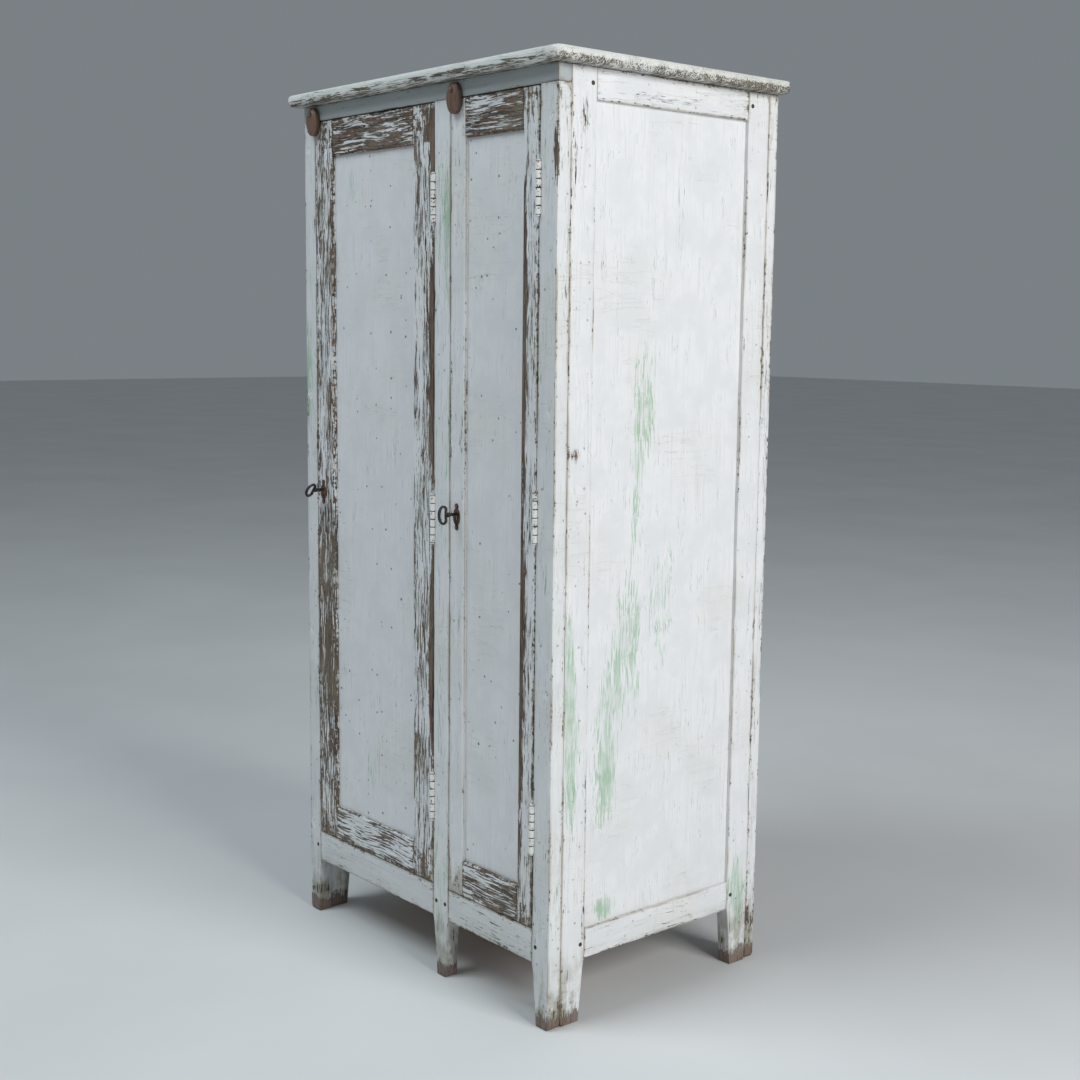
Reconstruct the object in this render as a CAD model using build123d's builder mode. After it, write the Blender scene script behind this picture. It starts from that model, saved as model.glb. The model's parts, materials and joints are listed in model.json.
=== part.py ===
"""Two-door pantry cabinet in painted softwood, as an assembly of separate boards and ironwork.

Millimetres. +Z is up, -Y is the front, +X is to the right of somebody facing the doors.
The origin is on the floor, under the middle of the whole object's box.
"""
from build123d import *
import os

# ---------------------------------------------------------------- driving dimensions
body_width = 792
body_depth = 550
body_height = 1700

top_thickness = 24
top_overhang = 28
top_corner_radius = 16
top_nose_radius = 10

frame_board = 30
back_board = 25
door_board = 24
thin_board = 18

left_post_width = 39
right_post_width = 47
centre_stile_middle = 73.7
centre_stile_width = 48
top_rail_height = 31
rail_underside = 118
bottom_rail_height = 62.5

side_stile_width = 57
side_top_rail_height = 54
side_bottom_rail_height = 57
back_stile_width = 60
back_top_rail_height = 70
back_bottom_rail_height = 80
back_board_count = 5

door_gap = 2
door_top_rail_height = 70
door_bottom_rail_height = 69
door_stile_widths = {"left": (62, 66), "right": (42, 43)}
panel_recess = 7.5
door_panel_thickness = 8
side_panel_thickness = 9
groove_depth = 8
inner_bevel = 2.5

foot_taper = 13
centre_foot_taper = 9
slim_foot_taper = 5
foot_shoulder = 4
foot_shoulder_height = 22
foot_toe = 4

tenon_length = 20
tenon_inset = 10
frame_tongue_setback = 10
frame_tongue_thickness = 10
back_tongue_setback = 10
back_tongue_thickness = 8
joint_clearance = 0.1
end_clearance = 1
edge_tolerance = 1

left_shelf_tops = (680, 1190)
right_shelf_tops = (560, 940, 1320)
batten_width = 15
batten_height = 20

hinge_heights = {"left": (358, 900, 1495), "right": (368, 932, 1497)}
knuckle_count = 6
knuckle_length = 15
knuckle_gap = 0.3
barrel_radius = 5
barrel_proud = 2
pin_radius = 2.5
pin_bore_radius = 2.56
pin_head_radius = 3.8
pin_head_height = 2
leaf_thickness = 2
leaf_depth = 18
leaf_clear_of_axis = 5.8
leaf_neck = 3
barrel_clearance = 0.4

lock_heights = {"left": 923, "right": 916}
key_rest_turn = {"left": 40, "right": 0}
lock_backset = 21.5
case_width = 34
case_height = 56
case_drop = 22
case_depth = 11
case_let_in = 8
case_wall = 1.2
flange_height = 10
flange_thickness = 1.5
bolt_height = 12
bolt_thickness = 5
bolt_above_key = 12
bolt_travel = 10
bolt_clearance = 0.4
bolt_room_behind = 4
keyhole_radius = 3.6
keyhole_slot_width = 3.6
keyhole_slot_drop = 12
shank_radius = 3
bit_reach = 10
bit_thickness = 2.4
bit_clearance = 0.6
tip_clearance = 0.5
collar_setback = 2
collar_length = 3
collar_proud = 1.5
key_reach = 43
bow_length = 23
bow_width = 36
bow_bar = 4

escutcheon_height = 50
escutcheon_width = 20
escutcheon_thickness = 1.5
escutcheon_drop = 5
finial_radius = 5
waist_setback = 9
escutcheon_pin_head = 1
escutcheon_pin_length = 9

button_width = 36
button_height = 56
button_thickness = 14
button_pivot_from_top = 14
button_pivot_drop = 3
button_gap = 0.5
button_chamfer = 4
button_bore_clearance = 0.06
button_middles = {"left": -353, "right": 117}

screw_head_radius = 4.2
screw_head_depth = 2.6
screw_shank_radius = 2
screw_clearance = 0.1
screw_slot_width = 0.9
screw_slot_depth = 0.8
hinge_screw_length = 14
hinge_screw_spread = 31
frame_screw_heights = (195, 621, 1120, 1614)
frame_screw_length = 58
frame_screw_sink = 1.5
frame_dish_radius = 8
pivot_screw_length = 22
peg_radius = 4
peg_from_edge = 10

# ---------------------------------------------------------------- positions that follow
half_width = body_width / 2
front = -(body_depth + key_reach) / 2 + key_reach
back = front + body_depth
frame_back = front + frame_board
back_frame_face = back - back_board
side_inner = half_width - frame_board
top_rail_underside = body_height - top_rail_height
rail_top = rail_underside + bottom_rail_height

left_post_inner = -half_width + left_post_width
right_post_inner = half_width - right_post_width
centre_left = centre_stile_middle - centre_stile_width / 2
centre_right = centre_stile_middle + centre_stile_width / 2
partition_left = centre_stile_middle - thin_board / 2
partition_right = centre_stile_middle + thin_board / 2

door_bottom = rail_top + door_gap
door_top = top_rail_underside - door_gap
door_spans = {
    "left": (left_post_inner + door_gap, centre_left - door_gap),
    "right": (centre_right + door_gap, right_post_inner - door_gap),
}
hinge_posts = {"left": centre_left, "right": right_post_inner}
hinge_y = front - barrel_proud
hinge_length = knuckle_count * knuckle_length
door_back = front + door_board

side_panel_outer = half_width - panel_recess
side_panel_inner = side_panel_outer - side_panel_thickness
side_stile_front = (frame_back, frame_back + side_stile_width)
side_stile_rear = (back_frame_face - side_stile_width, back_frame_face)
side_top_rail_underside = body_height - side_top_rail_height
side_bottom_rail_top = rail_underside + side_bottom_rail_height

door_tongue_y = (front + panel_recess, front + panel_recess + door_panel_thickness)
frame_tongue_y = (front + frame_tongue_setback, front + frame_tongue_setback + frame_tongue_thickness)
back_tongue_y = (back - back_tongue_setback - back_tongue_thickness, back - back_tongue_setback)

button_pivot_z = body_height - top_rail_height / 2 - button_pivot_drop
button_middle_z = button_pivot_z + button_pivot_from_top - button_height / 2

bolt_front = door_back - case_let_in + 2 * case_wall
bolt_ys = (bolt_front, bolt_front + bolt_thickness)

hands = (("left", -1), ("right", 1))


# ---------------------------------------------------------------- helpers
def save(part, name):
    """Label a finished piece and write it as its own file."""
    part.label = name
    export_step(part, f"parts/{name}.step")


def grown(span, amount):
    """A span made longer by the same amount at both ends."""
    return (min(span) - amount, max(span) + amount)


def block(xs, ys, zs, mode=Mode.ADD):
    """Add or cut a box between three pairs of faces."""
    spans = (sorted(xs), sorted(ys), sorted(zs))
    middle = tuple((low + high) / 2 for low, high in spans)
    with Locations(middle):
        Box(*(high - low for low, high in spans), mode=mode)


def cut(xs, ys, zs):
    """Cut a box between three pairs of faces."""
    block(xs, ys, zs, mode=Mode.SUBTRACT)


def rod(start, direction, radius, length, mode=Mode.ADD):
    """Add or cut a cylinder from a start point along a direction."""
    with Locations(Plane(origin=start, z_dir=direction)):
        Cylinder(radius, length, align=(Align.CENTER, Align.CENTER, Align.MIN), mode=mode)


def leg_side(edge, inward, taper):
    """The lower outline of one edge of a leg, from the floor up to the rail's underside."""
    if taper:
        return [
            (edge + inward * taper, 0),
            (edge + inward * foot_shoulder, rail_underside - foot_shoulder_height),
            (edge, rail_underside),
        ]
    return [(edge + inward * foot_toe, 0), (edge, 2 * foot_toe), (edge, rail_underside)]


def leg(plane, low, high, top, low_taper, high_taper):
    """The face of an upright whose foot narrows below the rails."""
    low_side = leg_side(low, 1, low_taper)
    high_side = leg_side(high, -1, high_taper)
    with BuildSketch(plane) as face:
        with BuildLine():
            Polyline(low_side[2], (low, top), (high, top), high_side[2])
            for side in (low_side, high_side):
                Line(side[0], side[1])
                slope = (side[1][0] - side[0][0], side[1][1] - side[0][1])
                if side[1][0] == side[2][0]:
                    Line(side[1], side[2])
                else:
                    TangentArc(side[1], side[2], tangent=slope)
            Line(low_side[0], high_side[0])
        make_face()
    return face.sketch


def screw(spot, inward, length):
    """Add a slotted countersunk wood screw whose head is flush with the surface at spot."""
    with Locations(Plane(origin=spot, z_dir=inward)):
        Cone(screw_head_radius, screw_shank_radius, screw_head_depth,
             align=(Align.CENTER, Align.CENTER, Align.MIN))
        Cylinder(screw_shank_radius, length, align=(Align.CENTER, Align.CENTER, Align.MIN))
        Box(2 * screw_head_radius, screw_slot_width, 2 * screw_slot_depth, mode=Mode.SUBTRACT)


def screw_hole(spot, inward, length):
    """Cut the countersunk hole that a screw sits in."""
    with Locations(Plane(origin=spot, z_dir=inward)):
        Cone(screw_head_radius + screw_clearance, screw_shank_radius + screw_clearance,
             screw_head_depth + screw_clearance,
             align=(Align.CENTER, Align.CENTER, Align.MIN), mode=Mode.SUBTRACT)
        Cylinder(screw_shank_radius + screw_clearance, length + end_clearance,
                 align=(Align.CENTER, Align.CENTER, Align.MIN), mode=Mode.SUBTRACT)


def sunk(spot, inward):
    """The place of a frame screw's head, a little below the surface at spot."""
    return tuple(place + frame_screw_sink * step for place, step in zip(spot, inward))


def frame_screw_hole(spot, inward):
    """Cut the dished hole of a long frame screw."""
    with Locations(Plane(origin=spot, z_dir=inward)):
        Cone(frame_dish_radius, screw_head_radius + screw_clearance, frame_screw_sink,
             align=(Align.CENTER, Align.CENTER, Align.MIN), mode=Mode.SUBTRACT)
    screw_hole(sunk(spot, inward), inward, frame_screw_length)


def peg_hole(spot, inward, length):
    """Cut the hole of a round wooden peg."""
    rod(spot, inward, peg_radius + joint_clearance / 2, length + joint_clearance, Mode.SUBTRACT)


def bevel_upright(edge_x, outward, zs):
    """Take the sharp edge off the opening side of a door stile, between its rails."""
    with BuildSketch(Plane.XY.offset(zs[0])) as corner:
        with BuildLine():
            Polyline((edge_x, front), (edge_x - outward * inner_bevel, front),
                     (edge_x, front + inner_bevel), close=True)
        make_face()
    extrude(corner.sketch, amount=zs[1] - zs[0], mode=Mode.SUBTRACT)


# ---------------------------------------------------------------- fastener places
frame_screw_spots = []
for hand, side in hands:
    for height in frame_screw_heights:
        screw_x = side * (half_width - frame_board / 2)
        frame_screw_spots.append(((screw_x, front, height), (0, 1, 0)))
        frame_screw_spots.append(((screw_x, back, height), (0, -1, 0)))

side_rail_middles = (
    (side_top_rail_underside + body_height) / 2,
    (rail_underside + side_bottom_rail_top) / 2,
)
side_peg_spots = []
for hand, side in hands:
    for peg_y in (side_stile_front[1] - peg_from_edge, side_stile_rear[0] + peg_from_edge):
        for height in side_rail_middles:
            side_peg_spots.append(((side * half_width, peg_y, height), (-side, 0, 0)))

front_rail_middle = (rail_underside + rail_top) / 2
front_peg_spots = []
rail_ends = ((left_post_inner, -1), (centre_left, 1), (centre_right, -1), (right_post_inner, 1))
for edge, into in rail_ends:
    front_peg_spots.append(((edge + into * peg_from_edge, front, front_rail_middle), (0, 1, 0)))

back_rail_middles = (
    body_height - back_top_rail_height / 2,
    rail_underside + back_bottom_rail_height / 2,
)
back_peg_spots = []
for hand, side in hands:
    peg_x = side * (half_width - back_stile_width + peg_from_edge)
    for height in back_rail_middles:
        back_peg_spots.append(((peg_x, back, height), (0, -1, 0)))


def hinge_screw_spots(hand, edge_x):
    """Screw places of the three hinges of a door on one vertical face."""
    spots = []
    leaf_middle_y = hinge_y + leaf_clear_of_axis + leaf_depth / 2
    for middle in hinge_heights[hand]:
        for step in (-1, 0, 1):
            spots.append((edge_x, leaf_middle_y, middle + step * hinge_screw_spread))
    return spots


# ---------------------------------------------------------------- top board
with BuildPart() as top_board:
    with BuildSketch(Plane.XY.offset(body_height)):
        with Locations((0, (front - top_overhang + back) / 2)):
            Rectangle(body_width + 2 * top_overhang, body_depth + top_overhang)
        fillet(vertices().sort_by(Axis.Y)[:2], top_corner_radius)
    extrude(amount=top_thickness)
    middle_z = body_height + top_thickness / 2
    rim_edges = edges().filter_by(lambda edge: abs(edge.center().Z - middle_z) > edge_tolerance)
    fillet(rim_edges.filter_by(lambda edge: edge.center().Y < back - edge_tolerance), top_nose_radius)
save(top_board.part, "top_board")

# ---------------------------------------------------------------- front frame
post_spans = {"left": (-half_width, left_post_inner), "right": (right_post_inner, half_width)}

with BuildPart() as front_top_rail:
    block((-half_width, half_width), (front, frame_back), (top_rail_underside, body_height))
    for low, high in (post_spans["left"], (centre_left, centre_right), post_spans["right"]):
        cut(grown((low + tenon_inset, high - tenon_inset), joint_clearance),
            grown(frame_tongue_y, joint_clearance),
            (top_rail_underside, top_rail_underside + tenon_length + end_clearance))
    for hand, side in hands:
        rod((button_middles[hand], front, button_pivot_z), (0, 1, 0),
            screw_shank_radius + screw_clearance, pivot_screw_length, Mode.SUBTRACT)
save(front_top_rail.part, "front_top_rail")


def top_tenon(low, high):
    """The tenon by which an upright of the front frame enters the top rail."""
    block((low + tenon_inset, high - tenon_inset), frame_tongue_y,
          (top_rail_underside, top_rail_underside + tenon_length))


def rail_mortise(edge, into):
    """The slot in an upright of the front frame that holds a bottom rail's tenon."""
    cut((edge, edge + into * (tenon_length + end_clearance)), grown(frame_tongue_y, joint_clearance),
        grown((rail_underside + tenon_inset, rail_top - tenon_inset), joint_clearance))


def hinge_recess(post_x, side, hand):
    """Let a hinge's leaf and barrel into the wood: side is +1 on the fixed wood and -1 on the door."""
    for middle in hinge_heights[hand]:
        zs = grown((middle - hinge_length / 2, middle + hinge_length / 2), end_clearance)
        leaf_y = hinge_y + leaf_clear_of_axis
        cut((post_x, post_x + side * leaf_thickness), (leaf_y - leaf_neck, leaf_y + leaf_depth), zs)
        rod((hinge_posts[hand] - door_gap / 2, hinge_y, zs[0] - pin_head_height), (0, 0, 1),
            barrel_radius + barrel_clearance, zs[1] - zs[0] + 2 * pin_head_height, Mode.SUBTRACT)


def bolt_mortise(hand, edge):
    """The slot that a lock's bolt enters."""
    bolt_z = lock_heights[hand] + bolt_above_key
    cut((edge, edge - bolt_travel - end_clearance), grown(bolt_ys, end_clearance),
        grown((bolt_z, bolt_z + bolt_height), end_clearance))


with BuildPart() as left_front_post:
    extrude(leg(Plane.XZ.offset(-front), -half_width, left_post_inner, top_rail_underside,
                0, slim_foot_taper), amount=-frame_board)
    top_tenon(*post_spans["left"])
    rail_mortise(left_post_inner, -1)
    bolt_mortise("left", left_post_inner)
    for spot, inward in frame_screw_spots:
        frame_screw_hole(spot, inward)
    for spot, inward in front_peg_spots:
        peg_hole(spot, inward, frame_board)
save(left_front_post.part, "left_front_post")

with BuildPart() as centre_stile:
    extrude(leg(Plane.XZ.offset(-front), centre_left, centre_right, top_rail_underside,
                foot_taper, centre_foot_taper), amount=-frame_board)
    top_tenon(centre_left, centre_right)
    rail_mortise(centre_left, 1)
    rail_mortise(centre_right, -1)
    hinge_recess(centre_left, 1, "left")
    bolt_mortise("right", centre_right)
    for spot in hinge_screw_spots("left", centre_left):
        screw_hole(spot, (1, 0, 0), hinge_screw_length)
    for spot, inward in front_peg_spots:
        peg_hole(spot, inward, frame_board)
save(centre_stile.part, "centre_stile")

with BuildPart() as right_front_post:
    extrude(leg(Plane.XZ.offset(-front), right_post_inner, half_width, top_rail_underside,
                foot_taper, 0), amount=-frame_board)
    top_tenon(*post_spans["right"])
    rail_mortise(right_post_inner, 1)
    hinge_recess(right_post_inner, 1, "right")
    for spot in hinge_screw_spots("right", right_post_inner):
        screw_hole(spot, (1, 0, 0), hinge_screw_length)
    for spot, inward in frame_screw_spots:
        frame_screw_hole(spot, inward)
    for spot, inward in front_peg_spots:
        peg_hole(spot, inward, frame_board)
save(right_front_post.part, "right_front_post")

bottom_rail_spans = {
    "left": (left_post_inner, centre_left),
    "right": (centre_right, right_post_inner),
}
for hand, (low, high) in bottom_rail_spans.items():
    with BuildPart() as bottom_rail:
        block((low, high), (front, frame_back), (rail_underside, rail_top))
        block((low - tenon_length, high + tenon_length), frame_tongue_y,
              (rail_underside + tenon_inset, rail_top - tenon_inset))
        for spot, inward in front_peg_spots:
            peg_hole(spot, inward, frame_board)
    save(bottom_rail.part, f"{hand}_bottom_rail")

# ---------------------------------------------------------------- side frames
side_rails = {
    "top_rail": (side_top_rail_underside, body_height),
    "bottom_rail": (rail_underside, side_bottom_rail_top),
}
side_panel_zs = (side_bottom_rail_top, side_top_rail_underside)

for hand, side in hands:
    outer = side * half_width
    tongue_xs = (side * side_panel_inner, side * side_panel_outer)
    stiles = {
        "front_stile": (side_stile_front, (0, foot_taper), side_stile_front[1], -1),
        "rear_stile": (side_stile_rear, (foot_taper, 0), side_stile_rear[0], 1),
    }
    for stile_name, (span, tapers, inner_edge, into) in stiles.items():
        with BuildPart() as side_stile:
            extrude(leg(Plane.YZ.offset(outer), *span, body_height, *tapers),
                    amount=-side * frame_board)
            cut(grown(tongue_xs, joint_clearance), (inner_edge, inner_edge + into * groove_depth),
                grown(side_panel_zs, groove_depth))
            for rail_low, rail_high in side_rails.values():
                cut(grown(tongue_xs, joint_clearance),
                    (inner_edge, inner_edge + into * (tenon_length + end_clearance)),
                    grown((rail_low + tenon_inset, rail_high - tenon_inset), joint_clearance))
            for spot, inward in frame_screw_spots:
                frame_screw_hole(spot, inward)
            for spot, inward in side_peg_spots:
                peg_hole(spot, inward, frame_board)
        save(side_stile.part, f"{hand}_side_{stile_name}")

    rail_ys = (side_stile_front[1], side_stile_rear[0])
    for rail_name, (rail_low, rail_high) in side_rails.items():
        with BuildPart() as side_rail:
            block((side * side_inner, outer), rail_ys, (rail_low, rail_high))
            block(tongue_xs, grown(rail_ys, tenon_length),
                  (rail_low + tenon_inset, rail_high - tenon_inset))
            groove_z = rail_high if rail_name == "bottom_rail" else rail_low
            groove_into = -1 if rail_name == "bottom_rail" else 1
            cut(grown(tongue_xs, joint_clearance), rail_ys,
                (groove_z, groove_z + groove_into * groove_depth))
            for spot, inward in side_peg_spots:
                peg_hole(spot, inward, frame_board)
        save(side_rail.part, f"{hand}_side_{rail_name}")

    with BuildPart() as side_panel:
        block(tongue_xs, grown(rail_ys, groove_depth - end_clearance),
              grown(side_panel_zs, groove_depth - end_clearance))
    save(side_panel.part, f"{hand}_side_panel")

# ---------------------------------------------------------------- back frame
back_rails = {
    "back_top_rail": (body_height - back_top_rail_height, body_height),
    "back_bottom_rail": (rail_underside, rail_underside + back_bottom_rail_height),
}
back_opening_xs = (-half_width + back_stile_width, half_width - back_stile_width)
back_opening_zs = (rail_underside + back_bottom_rail_height, body_height - back_top_rail_height)

for hand, side in hands:
    inner_edge = side * (half_width - back_stile_width)
    low, high = sorted((inner_edge, side * half_width))
    tapers = (0, foot_taper) if side < 0 else (foot_taper, 0)
    with BuildPart() as back_stile:
        extrude(leg(Plane.XZ.offset(-back_frame_face), low, high, body_height, *tapers),
                amount=-back_board)
        cut((inner_edge, inner_edge + side * groove_depth), grown(back_tongue_y, joint_clearance),
            grown(back_opening_zs, groove_depth))
        for rail_low, rail_high in back_rails.values():
            cut((inner_edge, inner_edge + side * (tenon_length + end_clearance)),
                grown(back_tongue_y, joint_clearance),
                grown((rail_low + tenon_inset, rail_high - tenon_inset), joint_clearance))
        for spot, inward in frame_screw_spots:
            frame_screw_hole(spot, inward)
        for spot, inward in back_peg_spots:
            peg_hole(spot, inward, back_board)
    save(back_stile.part, f"{hand}_back_stile")

for rail_name, (rail_low, rail_high) in back_rails.items():
    with BuildPart() as back_rail:
        block(back_opening_xs, (back_frame_face, back), (rail_low, rail_high))
        block(grown(back_opening_xs, tenon_length), back_tongue_y,
              (rail_low + tenon_inset, rail_high - tenon_inset))
        groove_z = rail_high if rail_name == "back_bottom_rail" else rail_low
        groove_into = -1 if rail_name == "back_bottom_rail" else 1
        cut(back_opening_xs, grown(back_tongue_y, joint_clearance),
            (groove_z, groove_z + groove_into * groove_depth))
        for spot, inward in back_peg_spots:
            peg_hole(spot, inward, back_board)
    save(back_rail.part, rail_name)

with BuildPart() as back_boards:
    low, high = grown(back_opening_xs, groove_depth - end_clearance)
    pitch = (high - low) / back_board_count
    for number in range(back_board_count):
        board_xs = (low + number * pitch, low + (number + 1) * pitch - end_clearance)
        block(board_xs, back_tongue_y, grown(back_opening_zs, groove_depth - end_clearance))
save(back_boards.part, "back_boards")

# ---------------------------------------------------------------- inside
inside_ys = (frame_back, back_frame_face)

with BuildPart() as floor_board:
    block(grown((-side_inner, side_inner), -end_clearance), grown(inside_ys, -end_clearance),
          (rail_top - thin_board, rail_top))
save(floor_board.part, "floor_board")

with BuildPart() as partition:
    block((partition_left, partition_right), inside_ys, (rail_top, body_height))
save(partition.part, "partition")

shelf_ys = (frame_back + batten_width, back_frame_face - end_clearance)
bays = {
    "left": ((-side_inner, partition_left), left_shelf_tops),
    "right": ((partition_right, side_inner), right_shelf_tops),
}
for hand, (bay_xs, shelf_tops) in bays.items():
    for number, shelf_top in enumerate(shelf_tops, start=1):
        with BuildPart() as shelf:
            block(grown(bay_xs, -end_clearance), shelf_ys, (shelf_top - thin_board, shelf_top))
        save(shelf.part, f"{hand}_shelf_{number}")

with BuildPart() as support_battens:
    for bay_xs, shelf_tops in bays.values():
        for shelf_top in shelf_tops:
            for wall, into in ((bay_xs[0], 1), (bay_xs[1], -1)):
                block((wall, wall + into * batten_width), shelf_ys,
                      (shelf_top - thin_board - batten_height, shelf_top - thin_board))
    for hand, side in hands:
        wall_xs = (side * side_inner, side * (side_inner - batten_width))
        for underside in (rail_top - thin_board, body_height):
            block(wall_xs, grown(inside_ys, -end_clearance), (underside - batten_height, underside))
save(support_battens.part, "support_battens")

# ---------------------------------------------------------------- carcass fasteners
with BuildPart() as frame_screws:
    for spot, inward in frame_screw_spots:
        screw(sunk(spot, inward), inward, frame_screw_length)
save(frame_screws.part, "frame_screws")

with BuildPart() as joint_pegs:
    for spot, inward in side_peg_spots + front_peg_spots:
        rod(spot, inward, peg_radius, frame_board)
    for spot, inward in back_peg_spots:
        rod(spot, inward, peg_radius, back_board)
save(joint_pegs.part, "joint_pegs")


# ---------------------------------------------------------------- hinges
def hinge_leaves(hand, side):
    """Three leaves of a door's hinges: side is +1 for the fixed leaves and -1 for the door's."""
    axis_x = hinge_posts[hand] - door_gap / 2
    plate_x = axis_x + side * door_gap / 2
    first_knuckle = 1 if side > 0 else 0
    for middle in hinge_heights[hand]:
        bottom = middle - hinge_length / 2
        plate_xs = (plate_x, plate_x + side * leaf_thickness)
        plate_y = hinge_y + leaf_clear_of_axis
        block(plate_xs, (plate_y, plate_y + leaf_depth), (bottom, bottom + hinge_length))
        for number in range(first_knuckle, knuckle_count, 2):
            knuckle_bottom = bottom + number * knuckle_length
            zs = grown((knuckle_bottom, knuckle_bottom + knuckle_length), -knuckle_gap / 2)
            block(plate_xs, (hinge_y + pin_radius, plate_y), zs)
            rod((axis_x, hinge_y, zs[0]), (0, 0, 1), barrel_radius, zs[1] - zs[0])
        rod((axis_x, hinge_y, bottom), (0, 0, 1), pin_bore_radius, hinge_length, Mode.SUBTRACT)
    for spot in hinge_screw_spots(hand, plate_x):
        screw_hole(spot, (side, 0, 0), hinge_screw_length)


with BuildPart() as frame_hinge_leaves:
    for hand, side in hands:
        hinge_leaves(hand, 1)
save(frame_hinge_leaves.part, "frame_hinge_leaves")

with BuildPart() as hinge_pins:
    for hand, side in hands:
        for middle in hinge_heights[hand]:
            start = (hinge_posts[hand] - door_gap / 2, hinge_y, middle - hinge_length / 2 - knuckle_gap)
            rod(start, (0, 0, 1), pin_radius, hinge_length + knuckle_gap)
            rod(start, (0, 0, -1), pin_head_radius, pin_head_height)
            rod((start[0], start[1], middle + hinge_length / 2 - knuckle_gap / 2), (0, 0, 1),
                pin_head_radius, pin_head_height)
save(hinge_pins.part, "hinge_pins")

with BuildPart() as frame_wood_screws:
    for hand, side in hands:
        for spot in hinge_screw_spots(hand, hinge_posts[hand]):
            screw(spot, (1, 0, 0), hinge_screw_length)
        head_y = front - button_gap - button_thickness - knuckle_gap
        rod((button_middles[hand], head_y, button_pivot_z), (0, 1, 0), screw_shank_radius,
            front - head_y + pivot_screw_length - end_clearance)
        rod((button_middles[hand], head_y, button_pivot_z), (0, -1, 0), screw_head_radius,
            pin_head_height)
save(frame_wood_screws.part, "frame_wood_screws")


# ---------------------------------------------------------------- doors
def keyhole(centre_x, centre_z, ys, clearance=0):
    """Cut a keyhole, a round hole with a slot below it, through a wall."""
    rod((centre_x, ys[0], centre_z), (0, 1, 0), keyhole_radius + clearance, ys[1] - ys[0], Mode.SUBTRACT)
    half_slot = keyhole_slot_width / 2 + clearance
    cut((centre_x - half_slot, centre_x + half_slot), ys, (centre_z - keyhole_slot_drop, centre_z))


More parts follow.
